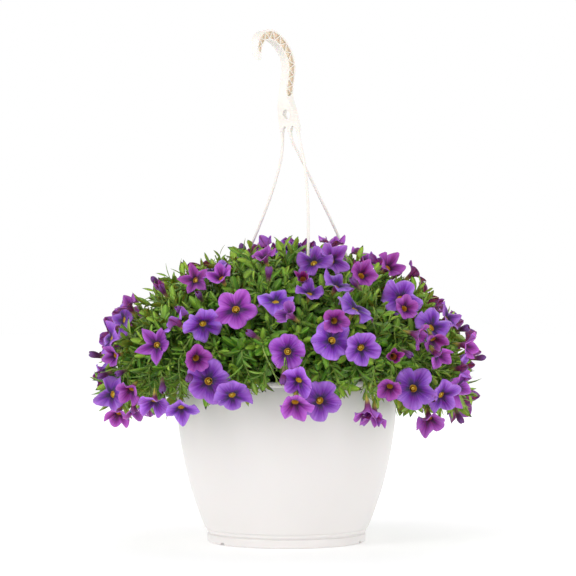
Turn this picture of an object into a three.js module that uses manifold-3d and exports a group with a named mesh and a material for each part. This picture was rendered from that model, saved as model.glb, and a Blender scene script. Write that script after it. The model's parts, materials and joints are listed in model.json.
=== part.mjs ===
// Purple calibrachoa in a hanging basket, in millimetres, +Z up.
// The origin is the centre of the pot's foot, and the front of the basket faces -Y.
import * as THREE from 'three';
import { mergeVertices } from 'three/addons/utils/BufferGeometryUtils.js';
import Module from 'manifold-3d';

const wasm = await Module();
wasm.setup();

const degrees = Math.PI / 180;
const fitGap = 0.4; // clearance between pieces that touch
const overshoot = 1; // how far a cutter runs past the face it cuts

// Pot: a thin moulded shell with a foot ring and a rim bead
const potHeight = 187;
const rimRadius = 127;
const footRadius = 91;
const footRingWidth = 3;
const potWall = 1.6;
const floorUnderside = 8;
const floorTop = 10;
const footShoulder = { height: 9.6, depth: 0.8, rise: 1.2 };
const potSides = 36;
const rimBead = 1;
const beadHeight = 5.5;
const wallCurve = [
  [92.3, 12.5],
  [97.6, 25],
  [102.9, 40],
  [110.2, 62],
  [116.4, 87],
  [121.3, 112],
  [124.7, 137],
  [125.8, 158],
  [rimRadius - rimBead, 176],
];
const drainHole = { radius: 5, ring: 60, count: 6, depth: 10, sides: 8 };
const notch = { width: 8, height: 1.8, azimuths: [217, 337, 97] };

// Clip sockets inside the rim, and the snap feet that hold in them
const armAzimuths = { left: 157, back: 37, front: 277 };
const socket = { centre: 121, inner: 117.3, outer: 125, width: 14, bottom: 172, top: 184 };
const foot = { thickness: 2.8, width: 7.4, barbWidth: 10.4, bottom: 168, rise: 6 };
const slotGap = 0.5;

// Hanger: the hook lies in an upright plane, and its flat yoke is square to that plane
const yokeCentre = new THREE.Vector2(4.3, 0);
const hookTurn = 45 * degrees;
const hookWidth = 11.5;
const yokeBottom = 470;
const armSpacing = 12.7;
const armThickness = 3.2;
const armSides = 8;
const armSteps = 18;
const armEndBend = 200; // height at which an arm turns straight down into its socket
const armEndRise = 4;
const eyeRadius = 5.3;
const eyeHeight = 489;
const yokeArchRise = 6;
const yokeLegMargin = 0.6;
const sidePlate = 40;
const frontPlate = 200;
const seatHeight = 572.8;
const seatAcross = -37.5;
const seatLength = 8;
const seatDepth = 6;
// centre line of the hook from its tip to the yoke: across, height, depth of the section
const hookSpine = [
  [-51.4, 548.5, 5],
  [-53.8, 559.5, 7.5],
  [-52, 570, 9.5],
  [-45, 576.6, 11],
  [-35, 578.2, 12],
  [-24.5, 574.8, 12],
  [-15.3, 568, 12],
  [-7.6, 558.8, 12],
  [-3.2, 547.5, 11.5],
  [-3.2, 536, 11.5],
  [-5, 525, 11.5],
  [-7, 514, 12],
  [-6.6, 502, 9],
  [-4.3, 491, 6],
  [-1.6, 481, 4.2],
  [0, yokeBottom, 4],
];
// half width of the hanger at each height, seen square to the yoke
const yokeFlare = [
  [600, hookWidth / 2],
  [516, hookWidth / 2],
  [508, 7.2],
  [500, 10.4],
  [490, 13.6],
  [481, 15],
  [yokeBottom, 15.4],
];
const armRoutes = {
  left: [
    [-4.8, 9.6, 452],
    [-8.3, 11.5, 430],
    [-19.5, 16, 393],
    [-40.8, 24, 340],
    [-70, 34.5, 282],
    [-97, 43.3, 232],
  ],
  back: [
    [7, 2, 458],
    [14, 7.3, 445],
    [32.8, 21.4, 407],
    [65.2, 45.7, 340],
    [86, 61.5, 282],
    [95, 70.5, 232],
  ],
  front: [
    [15.6, -12, 457],
    [20.8, -19, 430],
    [24, -36, 393],
    [24.5, -62, 345],
    [23, -88, 290],
    [18.8, -110, 235],
  ],
};

// Potting mix and the three young plants set in it
const mixSurface = 160;
const plantRing = 52;
const plantAzimuths = [97, 217, 337];
const rootBall = { top: 23, bottom: 17, depth: 55, proud: 1, sides: 14 };
const mixSides = 24;
const mixCrown = 2;
const leaderRadius = 4;
const leaderHeights = [178, 192];
const branchRadius = 1.6;
const branchFork = 176;
const branchBend = { along: 0.45, below: 4 };
// each branch of a plant: turn from the plant's own azimuth, radius, height of its tip
const branchTips = [
  [-40.7, 112, 194],
  [-18.7, 112, 203],
  [11, 112, 203],
  [40.7, 108, 196],
  [-40, 66, 232],
  [46, 60, 234],
];

// Canopy: a dome of leafy shoots that spills over the rim
const canopySides = 36;
const canopyBlocks = 12;
const blockGap = 1;
const crownRadius = 66;
const canopyOuter = [
  [0, 336],
  [46, 335],
  [95, 323],
  [140, 301],
  [177, 273],
  [206, 243],
  [220, 211],
  [222, 182],
  [215, 158],
  [199, 140],
];
const canopyHem = [
  [172, 129],
  [146, 136],
];
const frontHemLift = 20;
const hemLiftTop = 220;
const hemLiftSpan = 80;
// lumps where shoots bunch together: how many round the canopy, phase, turn for each mm of height
const lumpWaves = [
  [5, 0.9, 0],
  [8, 0, -1 / 31],
  [3, 0, 1 / 47],
];
const lumpDepth = 0.017;
const lumpLean = 0.006; // the plants lean a little to the right
const lumpRise = 0.6;
const canopyInner = [
  [133, 160],
  [133, 190],
  [126, 203],
  [105, 223],
  [70, 243],
  [0, 252],
];
const outerSteps = 9;
const wedgeHeight = 400;
const wedgeSteps = 6;
const wedgeReach = 300;
const rimWindow = { left: -34, right: -3, top: 191 };

// Blooms: azimuth, share of the way from the crown to the hem, radius of the limb
const blooms = [
  [248, 0.85, 22],
  [252, 0.57, 19],
  [270, 0.73, 19],
  [284, 0.72, 20],
  [310, 0.88, 22],
  [206, 0.89, 20],
  [313, 0.22, 16],
  [330, 0.51, 21],
  [178, 0.62, 18],
  [241, 0.67, 17],
  [280, 0.94, 20],
  [332, 0.88, 18],
  [230, 0.94, 18],
  [294, 0.56, 17],
  [323, 0.67, 19],
  [225, 0.34, 17],
  [271, 0.5, 16],
  [300, 0.75, 17],
  [296, 0.93, 16],
  [226, 0.72, 17],
  [216, 0.53, 16],
  [10, 0.7, 19],
  [28, 0.88, 20],
  [42, 0.5, 18],
  [62, 0.76, 20],
  [84, 0.58, 19],
  [104, 0.86, 20],
  [126, 0.5, 19],
  [146, 0.74, 19],
  [70, 0.3, 17],
];
const tubeLength = 14;
const tubeRadius = 2.4;
const tubeFlare = 0.6;
const throatDepth = 4;
const limbRise = 6;
const limbSides = 10;
const lobeDip = 0.84; // radius where two lobes meet, as a share of the limb's
const petalThickness = 1;
const limbLift = 4;
const pocket = { margin: 5, below: 1.5, open: 30, sides: 6 };
const slopeStep = 0.03; // share of the canopy's profile over which its slope is taken

const whitePlastic = new THREE.MeshStandardMaterial({ color: 0xedebe8, roughness: 0.35, metalness: 0 });
const creamPlastic = new THREE.MeshStandardMaterial({ color: 0xf5ece0, roughness: 0.45, metalness: 0 });
const darkMix = new THREE.MeshStandardMaterial({ color: 0x3a2a1e, roughness: 0.95, metalness: 0 });
const rootBrown = new THREE.MeshStandardMaterial({ color: 0x8a6f52, roughness: 0.9, metalness: 0 });
const stemGreen = new THREE.MeshStandardMaterial({ color: 0x6f8f3a, roughness: 0.6, metalness: 0 });
const leafGreen = new THREE.MeshStandardMaterial({ color: 0x3e7a1e, roughness: 0.55, metalness: 0 });
const petalViolet = new THREE.MeshStandardMaterial({ color: 0x9b59c9, roughness: 0.5, metalness: 0 });

// A closed mesh with shared corners becomes a solid that can be joined and cut
function toSolid(geometry) {
  const bare = geometry.clone();
  bare.deleteAttribute('normal');
  bare.deleteAttribute('uv');
  const merged = mergeVertices(bare);
  const corners = merged.index.array;
  const kept = [];
  for (let i = 0; i < corners.length; i += 3) {
    const [a, b, c] = corners.slice(i, i + 3);
    if (a !== b && b !== c && c !== a) {
      kept.push(a, b, c);
    }
  }
  return new wasm.Manifold(new wasm.Mesh({
    numProp: 3,
    vertProperties: new Float32Array(merged.attributes.position.array),
    triVerts: new Uint32Array(kept),
  }));
}

function toGeometry(solid) {
  const mesh = solid.getMesh();
  const geometry = new THREE.BufferGeometry();
  geometry.setAttribute('position', new THREE.BufferAttribute(mesh.vertProperties, 3));
  geometry.setIndex(new THREE.BufferAttribute(mesh.triVerts, 1));
  return geometry;
}

const group = new THREE.Group();

function addPiece(name, solid, material) {
  const mesh = new THREE.Mesh(toGeometry(solid), material.clone());
  mesh.name = name;
  group.add(mesh);
}

// Profiles are lists of [radius, height], up the outside and back down the inside
function latheAboutZ(profile, sides) {
  const points = profile.map(([radius, height]) => new THREE.Vector2(radius, height));
  return new THREE.LatheGeometry(points, sides).rotateX(90 * degrees);
}

function boxAt(sizeX, sizeY, sizeZ, x, y, z) {
  return new THREE.BoxGeometry(sizeX, sizeY, sizeZ).translate(x, y, z);
}

function onRing(radius, azimuth, height) {
  const angle = azimuth * degrees;
  return new THREE.Vector3(radius * Math.cos(angle), radius * Math.sin(angle), height);
}

function tubeAlong(points, radius, sides, steps) {
  const section = new THREE.Shape();
  for (let i = 0; i < sides; i += 1) {
    const angle = (i + 0.5) * 360 * degrees / sides;
    const move = i === 0 ? 'moveTo' : 'lineTo';
    section[move](radius * Math.cos(angle), radius * Math.sin(angle));
  }
  const path = new THREE.CatmullRomCurve3(points);
  return new THREE.ExtrudeGeometry(section, { steps, bevelEnabled: false, extrudePath: path });
}

// Pot
function potProfile() {
  const beadBottom = potHeight - beadHeight;
  const innerWall = wallCurve.map(([radius, height]) => [radius - potWall, height + 0.5]).reverse();
  return [
    [0, floorUnderside],
    [footRadius - footRingWidth, floorUnderside],
    [footRadius - footRingWidth, 0],
    [footRadius, 0],
    [footRadius, footShoulder.height],
    [footRadius - footShoulder.depth, footShoulder.height + footShoulder.rise],
    ...wallCurve,
    [rimRadius - rimBead - 0.5, beadBottom - 1],
    [rimRadius, beadBottom],
    [rimRadius, potHeight - 1],
    [rimRadius - 1, potHeight],
    [rimRadius - rimBead - potWall, potHeight],
    ...innerWall,
    [footRadius - footRingWidth, floorTop],
    [0, floorTop],
  ];
}

function socketBlock(azimuth) {
  const height = socket.top - socket.bottom;
  const middle = (socket.top + socket.bottom) / 2;
  const block = boxAt(socket.outer - socket.inner, socket.width, height,
    (socket.outer + socket.inner) / 2, 0, middle);
  const slot = boxAt(foot.thickness + 2 * slotGap, foot.width + 2 * slotGap, height + 2 * overshoot,
    socket.centre, 0, middle);
  const turned = azimuth * degrees;
  return toSolid(block.rotateZ(turned)).subtract(toSolid(slot.rotateZ(turned)));
}

function makePot() {
  let pot = toSolid(latheAboutZ(potProfile(), potSides));
  for (let i = 0; i < drainHole.count; i += 1) {
    const centre = onRing(drainHole.ring, i * 360 / drainHole.count, floorTop);
    const { radius, depth, sides } = drainHole;
    const drill = new THREE.CylinderGeometry(radius, radius, depth, sides);
    drill.rotateX(90 * degrees).translate(centre.x, centre.y, centre.z);
    pot = pot.subtract(toSolid(drill));
  }
  for (const azimuth of notch.azimuths) {
    const cut = boxAt(3 * footRingWidth, notch.width, 2 * notch.height, footRadius - overshoot, 0, 0);
    pot = pot.subtract(toSolid(cut.rotateZ(azimuth * degrees)));
  }
  for (const azimuth of Object.values(armAzimuths)) {
    pot = pot.add(socketBlock(azimuth));
  }
  return pot;
}

// Hanger
// Hook-plane directions: across is away from the tip, side is along the row of arms
const across = new THREE.Vector2(Math.cos(hookTurn), Math.sin(hookTurn));
const side = new THREE.Vector2(Math.sin(hookTurn), -Math.cos(hookTurn));

function armRoot(name) {
  const offset = { left: -armSpacing, back: 0, front: armSpacing }[name];
  const start = yokeCentre.clone().addScaledVector(side, offset);
  return new THREE.Vector3(start.x, start.y, yokeBottom - fitGap);
}

// Extrudes a shape drawn in a plane of local X and height, centred on its thickness
function uprightPlate(shape, thickness) {
  const plate = new THREE.ExtrudeGeometry(shape, { depth: thickness, bevelEnabled: false, curveSegments: 8 });
  return plate.translate(0, 0, -thickness / 2).rotateX(90 * degrees);
}

function hookSideShape() {
  const spine = new THREE.SplineCurve(hookSpine.map(([u, z]) => new THREE.Vector2(u, z)));
  const depths = new THREE.SplineCurve(hookSpine.map((station, i) => new THREE.Vector2(i, station[2])));
  const stations = 30;
  const outer = [];
  const inner = [];
  for (let i = 0; i <= stations; i += 1) {
    const along = i / stations;
    const centre = spine.getPoint(along);
    const tangent = spine.getTangent(along);
    const half = depths.getPoint(along).y / 2;
    outer.push(new THREE.Vector2(centre.x - tangent.y * half, centre.y + tangent.x * half));
    inner.push(new THREE.Vector2(centre.x + tangent.y * half, centre.y - tangent.x * half));
  }
  return new THREE.Shape([...inner, ...outer.reverse()]);
}

function yokeFrontShape() {
  const shape = new THREE.Shape();
  const legHalf = armThickness / 2 + yokeLegMargin;
  const archTop = yokeBottom + yokeArchRise;
  shape.moveTo(-yokeFlare[0][1], yokeFlare[0][0]);
  for (const [height, half] of yokeFlare.slice(1)) {
    shape.lineTo(-half, height);
  }
  for (const middle of [-armSpacing / 2, armSpacing / 2]) {
    shape.lineTo(middle - armSpacing / 2 + legHalf, yokeBottom);
    shape.quadraticCurveTo(middle, 2 * archTop - yokeBottom, middle + armSpacing / 2 - legHalf, yokeBottom);
  }
  for (const [height, half] of yokeFlare.slice().reverse()) {
    shape.lineTo(half, height);
  }
  const eye = new THREE.Path();
  eye.absarc(0, eyeHeight, eyeRadius, 0, 2 * Math.PI, true);
  shape.holes.push(eye);
  return shape;
}

function makeHook() {
  const sideView = toSolid(uprightPlate(hookSideShape(), sidePlate));
  const frontView = toSolid(uprightPlate(yokeFrontShape(), frontPlate).rotateZ(-90 * degrees));
  const seatMiddle = seatHeight - seatDepth / 2;
  const seat = toSolid(boxAt(seatLength, hookWidth + 2 * overshoot, seatDepth, seatAcross, 0, seatMiddle));
  const hook = sideView.intersect(frontView).subtract(seat);
  const placed = toGeometry(hook).rotateZ(hookTurn).translate(yokeCentre.x, yokeCentre.y, 0);
  return toSolid(placed);
}

function armPoints(name) {
  const azimuth = armAzimuths[name];
  const route = armRoutes[name].map(([x, y, z]) => new THREE.Vector3(x, y, z));
  const aboveFoot = onRing(socket.centre, azimuth, armEndBend);
  return [armRoot(name), ...route, aboveFoot, onRing(socket.centre, azimuth, socket.top + armEndRise)];
}

function makeArm(name) {
  const rod = toSolid(tubeAlong(armPoints(name), armThickness / 2, armSides, armSteps));
  const bladeTop = socket.top + foot.rise;
  const barbTop = socket.bottom - fitGap;
  const blade = boxAt(foot.thickness, foot.width, bladeTop - foot.bottom,
    socket.centre, 0, (bladeTop + foot.bottom) / 2);
  const barb = boxAt(foot.thickness, foot.barbWidth, barbTop - foot.bottom,
    socket.centre, 0, (barbTop + foot.bottom) / 2);
  const turned = armAzimuths[name] * degrees;
  return rod.add(toSolid(blade.rotateZ(turned))).add(toSolid(barb.rotateZ(turned)));
}

// Potting mix, root balls and stems
function rootBallSolid(azimuth, grow) {
  const height = rootBall.depth + 2 * grow;
  const { top, bottom, sides } = rootBall;
  const plug = new THREE.CylinderGeometry(top + grow, bottom + grow, height, sides);
  const centre = onRing(plantRing, azimuth, mixSurface + rootBall.proud - rootBall.depth / 2);
  return toSolid(plug.rotateX(90 * degrees).translate(centre.x, centre.y, centre.z));
}

function makeMix() {
  const wall = wallCurve.filter(([, height]) => height < mixSurface);
  const wallAtSurface = wallCurve[wallCurve.length - 1][0];
  const profile = [
    [0, floorTop + fitGap],
    [footRadius - footRingWidth - 1, floorTop + fitGap],
    ...wall.map(([radius, height]) => [radius - potWall - 2 * fitGap, height + 1]),
    [wallAtSurface - potWall - 3 * fitGap, mixSurface],
    [0, mixSurface + mixCrown],
  ];
  let mix = toSolid(latheAboutZ(profile, mixSides));
  for (const azimuth of plantAzimuths) {
    mix = mix.subtract(rootBallSolid(azimuth, fitGap));
  }
  return mix;
}

// Branches leave the middle of a root ball and fan out under the canopy
function makeStems(azimuth) {
  const base = onRing(plantRing, azimuth, mixSurface + rootBall.proud + fitGap);
  const leader = [base, ...leaderHeights.map((height) => base.clone().setZ(height))];
  let cluster = toSolid(tubeAlong(leader, leaderRadius, 7, 2));
  for (const [turn, radius, height] of branchTips) {
    const tip = onRing(radius, azimuth + turn, height);
    const bend = base.clone().lerp(tip, branchBend.along).setZ(height - branchBend.below);
    const branch = tubeAlong([base.clone().setZ(branchFork), bend, tip], branchRadius, 5, 4);
    cluster = cluster.add(toSolid(branch));
  }
  return cluster;
}

// Canopy
const outerCurve = new THREE.SplineCurve(canopyOuter.map(([r, z]) => new THREE.Vector2(r, z)));

// Growth of the radius at a point of the canopy, as a share of it
function lumpAt(angle, height) {
  const waves = lumpWaves.map(([count, phase, twist]) => (
    Math.sin(count * angle + phase + twist * height)
  ));
  return lumpDepth * waves.reduce((sum, wave) => sum + wave, 0) + lumpLean * Math.cos(angle);
}

// The shoots hang less far down in front of the pot than at its sides
function hemLift(angle, height) {
  const frontness = Math.max(0, -Math.sin(angle)) ** 3;
  const lowness = THREE.MathUtils.clamp((hemLiftTop - height) / hemLiftSpan, 0, 1);
  return frontHemLift * frontness * lowness;
}

function canopySurface(azimuth, share) {
  const { x: radius, y: height } = outerCurve.getPointAt(share);
  const lump = lumpAt(azimuth * degrees, height);
  const rise = radius * lump * lumpRise + hemLift(azimuth * degrees, height);
  return onRing(radius * (1 + lump), azimuth, height + rise);
}

function makeCanopy() {
  const outer = [];
  for (let i = 0; i <= outerSteps; i += 1) {
    const { x, y } = outerCurve.getPointAt(i / outerSteps);
    outer.push([x, y]);
  }
  outer[0][0] = 0;
  const profile = [...canopyInner.slice().reverse(), ...canopyHem.slice().reverse(), ...outer.reverse()];
  const innerCount = canopyInner.length;
  const geometry = latheAboutZ(profile, canopySides);
  const position = geometry.attributes.position;
  for (let i = 0; i < position.count; i += 1) {
    const x = position.getX(i);
    const y = position.getY(i);
    const z = position.getZ(i);
    const isInner = i % profile.length < innerCount;
    if (!isInner && Math.hypot(x, y) > 1) {
      const lump = lumpAt(Math.atan2(y, x), z);
      const rise = Math.hypot(x, y) * lump * lumpRise + hemLift(Math.atan2(y, x), z);
      position.setXYZ(i, x * (1 + lump), y * (1 + lump), z + rise);
    }
  }
  return toSolid(geometry);
}

// A wedge seen from above between two azimuths, from one radius to another
function wedge(fromAzimuth, toAzimuth, innerRadius, outerRadius) {
  const middle = (fromAzimuth + toAzimuth) / 2 * degrees;
  const shift = blockGap / 2 / Math.sin((toAzimuth - fromAzimuth) / 2 * degrees);
  const shape = new THREE.Shape();
  for (let i = 0; i <= wedgeSteps; i += 1) {
    const angle = (fromAzimuth + (toAzimuth - fromAzimuth) * i / wedgeSteps) * degrees;
    const move = i === 0 ? 'moveTo' : 'lineTo';
    shape[move](outerRadius * Math.cos(angle), outerRadius * Math.sin(angle));
  }
  if (innerRadius === 0) {
    shape.lineTo(0, 0);
  } else {
    for (const azimuth of [toAzimuth, fromAzimuth]) {
      const corner = onRing(innerRadius, azimuth, 0);
      shape.lineTo(corner.x, corner.y);
    }
  }
  const prism = new THREE.ExtrudeGeometry(shape, { depth: wedgeHeight, bevelEnabled: false });
  return toSolid(prism.translate(shift * Math.cos(middle), shift * Math.sin(middle), 0));
}

// Flowers
function flowerGeometry(radius) {
  const rise = tubeLength + limbRise;
  const profile = [
    [0, 0],
    [tubeRadius, 0],
    [tubeRadius + tubeFlare, tubeLength - throatDepth],
    [radius, rise],
    [radius, rise + petalThickness],
    [0, tubeLength - 1],
  ];
  const geometry = latheAboutZ(profile, limbSides);
  const position = geometry.attributes.position;
  for (let i = 0; i < position.count; i += 1) {
    const row = i % profile.length;
    const column = Math.floor(i / profile.length);
    const inRim = row === 3 || row === 4;
    if (inRim && column % 2 === 1) {
      position.setXYZ(i, position.getX(i) * lobeDip, position.getY(i) * lobeDip, position.getZ(i));
    }
  }
  return geometry;
}

// The room that a flower needs in the canopy
function flowerPocket(radius) {
  const rise = tubeLength + limbRise;
  const profile = [
    [0, -fitGap],
    [tubeRadius + 1, -fitGap],
    [tubeRadius + 2, tubeLength - 5],
    [radius + pocket.margin, rise - pocket.below],
    [radius + pocket.margin, rise + pocket.open],
    [0, rise + pocket.open],
  ];
  return latheAboutZ(profile, pocket.sides);
}

// Stands a flower on the canopy, facing outwards and a little up
function placeOnCanopy(geometry, azimuth, share) {
  const point = canopySurface(azimuth, share);
  const below = canopySurface(azimuth, share + slopeStep);
  const above = canopySurface(azimuth, share - slopeStep);
  const downhill = below.sub(above).normalize();
  const sideways = new THREE.Vector3(-Math.sin(azimuth * degrees), Math.cos(azimuth * degrees), 0);
  const outward = downhill.clone().cross(sideways).negate().normalize();
  if (outward.dot(onRing(1, azimuth, 0.6)) < 0) {
    outward.negate();
  }
  const base = point.addScaledVector(outward, limbLift - tubeLength - limbRise);
  const turn = new THREE.Quaternion().setFromUnitVectors(new THREE.Vector3(0, 0, 1), outward);
  const place = new THREE.Matrix4().compose(base, turn, new THREE.Vector3(1, 1, 1));
  return geometry.clone().applyMatrix4(place);
}

// Assembly
addPiece('pot_shell', makePot(), whitePlastic);
addPiece('potting_mix', makeMix(), darkMix);
plantAzimuths.forEach((azimuth, i) => {
  addPiece(`root_ball_${i + 1}`, rootBallSolid(azimuth, 0), rootBrown);
  addPiece(`stem_cluster_${i + 1}`, makeStems(azimuth), stemGreen);
});

addPiece('hanger_hook', makeHook(), creamPlastic);
for (const name of Object.keys(armAzimuths)) {
  addPiece(`hanger_arm_${name}`, makeArm(name), creamPlastic);
}

let canopy = makeCanopy();
const windowWidth = rimWindow.right - rimWindow.left;
canopy = canopy.subtract(toSolid(boxAt(windowWidth, 200, rimWindow.top,
  (rimWindow.right + rimWindow.left) / 2, -200, rimWindow.top / 2)));
for (const name of Object.keys(armAzimuths)) {
  canopy = canopy.subtract(toSolid(tubeAlong(armPoints(name), armThickness / 2 + 1.2, 6, 14)));
}
blooms.forEach(([azimuth, share, radius], i) => {
  const number = String(i + 1).padStart(2, '0');
  canopy = canopy.subtract(toSolid(placeOnCanopy(flowerPocket(radius), azimuth, share)));
  addPiece(`flower_${number}`, toSolid(placeOnCanopy(flowerGeometry(radius), azimuth, share)), petalViolet);
});

const blockAngle = 360 / canopyBlocks;
const firstBlock = armAzimuths.front - blockAngle / 2;
for (let i = 0; i < canopyBlocks; i += 1) {
  const start = firstBlock + i * blockAngle;
  const number = String(i + 1).padStart(2, '0');
  const block = canopy.intersect(wedge(start, start + blockAngle, crownRadius, wedgeReach));
  addPiece(`trailing_foliage_${number}`, block, leafGreen);
}
const crownAngle = 360 / plantAzimuths.length;
plantAzimuths.forEach((azimuth, i) => {
  const wedgeOfCrown = wedge(azimuth - crownAngle / 2, azimuth + crownAngle / 2, 0, crownRadius - blockGap);
  addPiece(`crown_foliage_${i + 1}`, canopy.intersect(wedgeOfCrown), leafGreen);
});

export default group;
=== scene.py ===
import json
import math
import random

import bmesh
import bpy
import numpy as np
from mathutils import Matrix, Vector
from mathutils.bvhtree import BVHTree

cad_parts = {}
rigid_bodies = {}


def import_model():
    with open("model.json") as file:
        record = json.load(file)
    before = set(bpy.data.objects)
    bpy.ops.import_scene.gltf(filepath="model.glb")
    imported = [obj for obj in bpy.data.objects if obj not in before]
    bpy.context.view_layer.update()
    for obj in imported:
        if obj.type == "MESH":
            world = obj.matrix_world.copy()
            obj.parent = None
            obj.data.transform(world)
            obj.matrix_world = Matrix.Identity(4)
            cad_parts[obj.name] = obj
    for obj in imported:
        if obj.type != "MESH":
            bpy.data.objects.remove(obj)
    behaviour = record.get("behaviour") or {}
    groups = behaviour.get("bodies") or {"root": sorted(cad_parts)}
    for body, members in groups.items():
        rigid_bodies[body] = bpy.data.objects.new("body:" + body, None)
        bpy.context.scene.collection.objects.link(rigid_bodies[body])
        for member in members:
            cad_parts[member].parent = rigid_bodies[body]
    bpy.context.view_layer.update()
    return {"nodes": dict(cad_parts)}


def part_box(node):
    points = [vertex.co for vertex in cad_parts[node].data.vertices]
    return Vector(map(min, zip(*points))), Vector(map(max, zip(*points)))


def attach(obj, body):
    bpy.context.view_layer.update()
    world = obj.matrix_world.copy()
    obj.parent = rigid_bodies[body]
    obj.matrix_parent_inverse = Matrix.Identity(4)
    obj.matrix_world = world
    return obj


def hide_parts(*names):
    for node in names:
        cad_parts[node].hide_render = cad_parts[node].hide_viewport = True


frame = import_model()
mm = 0.001
up = Vector((0, 0, 1))
print("frame loaded")

# camera and light

view = {"height": 0.290, "across": 0.0017, "distance": 2.715, "lens": 147.6}

cameraData = bpy.data.cameras.new("camera")
cameraData.lens = view["lens"]
cameraData.sensor_width = 36
cameraData.clip_end = 30
camera = bpy.data.objects.new("camera", cameraData)
camera.location = (view["across"], -view["distance"], view["height"])
camera.rotation_euler = (math.radians(90), 0, 0)
bpy.context.scene.collection.objects.link(camera)
bpy.context.scene.camera = camera
bpy.context.scene.view_settings.view_transform = "Standard"

studio = {
    "worldLight": 0.74, "aim": (0, 0, 0.25),
    "key": {"at": (-2.2, -1.75, 1.3), "size": 1.6, "watts": 32},
    "fill": {"at": (2.2, -1.75, 0.6), "size": 1.8, "watts": 24},
    "back": {"at": (0.4, 2.2, 1.9), "size": 1.6, "watts": 14},
}


def areaLight(name, at, size, watts):
    data = bpy.data.lights.new(name, "AREA")
    data.energy = watts
    data.size = size
    lamp = bpy.data.objects.new(name, data)
    lamp.location = at
    aim = Vector(studio["aim"]) - Vector(at)
    lamp.rotation_euler = aim.to_track_quat("-Z", "Y").to_euler()
    bpy.context.scene.collection.objects.link(lamp)


for lightName in ("key", "fill", "back"):
    areaLight(lightName + "Light", **studio[lightName])

world = bpy.data.worlds.new("studio")
world.use_nodes = True
worldNodes = world.node_tree.nodes
worldNodes["Background"].inputs["Color"].default_value = (1, 1, 1, 1)
seen = worldNodes.new("ShaderNodeLightPath").outputs["Is Camera Ray"]
brightness = worldNodes.new("ShaderNodeMapRange")
brightness.inputs["To Min"].default_value = studio["worldLight"]
brightness.inputs["To Max"].default_value = 1.0
world.node_tree.links.new(seen, brightness.inputs["Value"])
world.node_tree.links.new(brightness.outputs[0], worldNodes["Background"].inputs["Strength"])
bpy.context.scene.world = world


# making materials and meshes

def newMaterial(name, **uniform):
    material = bpy.data.materials.new(name)
    material.use_nodes = True
    shader = material.node_tree.nodes["Principled BSDF"]
    for socket, value in uniform.items():
        shader.inputs[socket.replace("_", " ")].default_value = value
    return material, material.node_tree, shader


def addNode(tree, kind, inputs=(), **settings):
    node = tree.nodes.new(kind)
    for key, value in settings.items():
        setattr(node, key, value)
    for key, value in dict(inputs).items():
        if isinstance(value, bpy.types.NodeSocket):
            tree.links.new(value, node.inputs[key])
        else:
            node.inputs[key].default_value = value
    return node


# joins values by one operation, from left to right
def mathNode(tree, operation, first, *others):
    result = first
    for other in others or (0.0,):
        result = addNode(tree, "ShaderNodeMath", {0: result, 1: other}, operation=operation).outputs[0]
    return result


def mapRange(tree, value, start, end, low=0.0, high=1.0):
    return addNode(tree, "ShaderNodeMapRange", {"Value": value, "From Min": start, "From Max": end,
                                                "To Min": low, "To Max": high}).outputs[0]


# noise on a piece's own coordinates, which stretch scales first
def noise(tree, scale, detail=3, stretch=None):
    spot = addNode(tree, "ShaderNodeTexCoord").outputs["Object"]
    if stretch:
        spot = addNode(tree, "ShaderNodeMapping", {"Vector": spot, "Scale": stretch}).outputs[0]
    inputs = {"Vector": spot, "Scale": scale, "Detail": detail}
    return addNode(tree, "ShaderNodeTexNoise", inputs).outputs["Fac"]


def colourRamp(tree, factor, stops):
    node = addNode(tree, "ShaderNodeValToRGB", {"Fac": factor})
    ramp = node.color_ramp.elements
    while len(ramp) < len(stops):
        ramp.new(0.5)
    for element, (place, colour) in zip(ramp, stops):
        element.position = place
        element.color = (*colour, 1)
    return node.outputs["Color"]


def mixColour(tree, factor, a, b):
    node = addNode(tree, "ShaderNodeMix", {0: factor}, data_type="RGBA")
    for index, value in ((6, a), (7, b)):
        if isinstance(value, bpy.types.NodeSocket):
            tree.links.new(value, node.inputs[index])
        else:
            node.inputs[index].default_value = (*value, 1)
    return node.outputs[2]


def attribute(tree, name):
    return addNode(tree, "ShaderNodeAttribute", attribute_name=name).outputs["Fac"]


def addBump(tree, shader, height, strength, distance):
    bump = addNode(tree, "ShaderNodeBump", {"Height": height, "Strength": strength, "Distance": distance})
    tree.links.new(bump.outputs["Normal"], shader.inputs["Normal"])


def hexColour(code):
    channels = [int(code[i:i + 2], 16) / 255 for i in (0, 2, 4)]
    return tuple(c / 12.92 if c <= 0.04045 else ((c + 0.055) / 1.055) ** 2.4 for c in channels)


# two colours in a noise, with a bump that follows it
def speckledMaterial(name, look):
    material, tree, shader = newMaterial(name, Roughness=look["roughness"])
    specks = noise(tree, look["scale"], look.get("detail", 3), look.get("stretch"))
    stops = list(zip(look["stops"], (look["dark"], look["light"])))
    tree.links.new(colourRamp(tree, specks, stops), shader.inputs["Base Color"])
    addBump(tree, shader, specks, *look["bump"])
    return material


# one colour with soft clouds, a fine grain, and a painted shade colour down in any pockets
def mouldedPlastic(name, look):
    material, tree, shader = newMaterial(name, Roughness=look["roughness"], IOR=1.5,
                                         Subsurface_Weight=look["subsurface"][0],
                                         Subsurface_Scale=look["subsurface"][1])
    dark = tuple(c * look["darkest"] for c in look["colour"])
    colour = mixColour(tree, noise(tree, look["cloud"], stretch=look.get("stretch")), look["colour"], dark)
    # painted shade: the pockets' floors are mixed towards a darker tan
    if "pocket" in look:
        colour = mixColour(tree, attribute(tree, "pocket"), colour, look["pocket"])
    tree.links.new(colour, shader.inputs["Base Color"])
    addBump(tree, shader, noise(tree, look["grain"], 2), *look["bump"])
    return material


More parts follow.
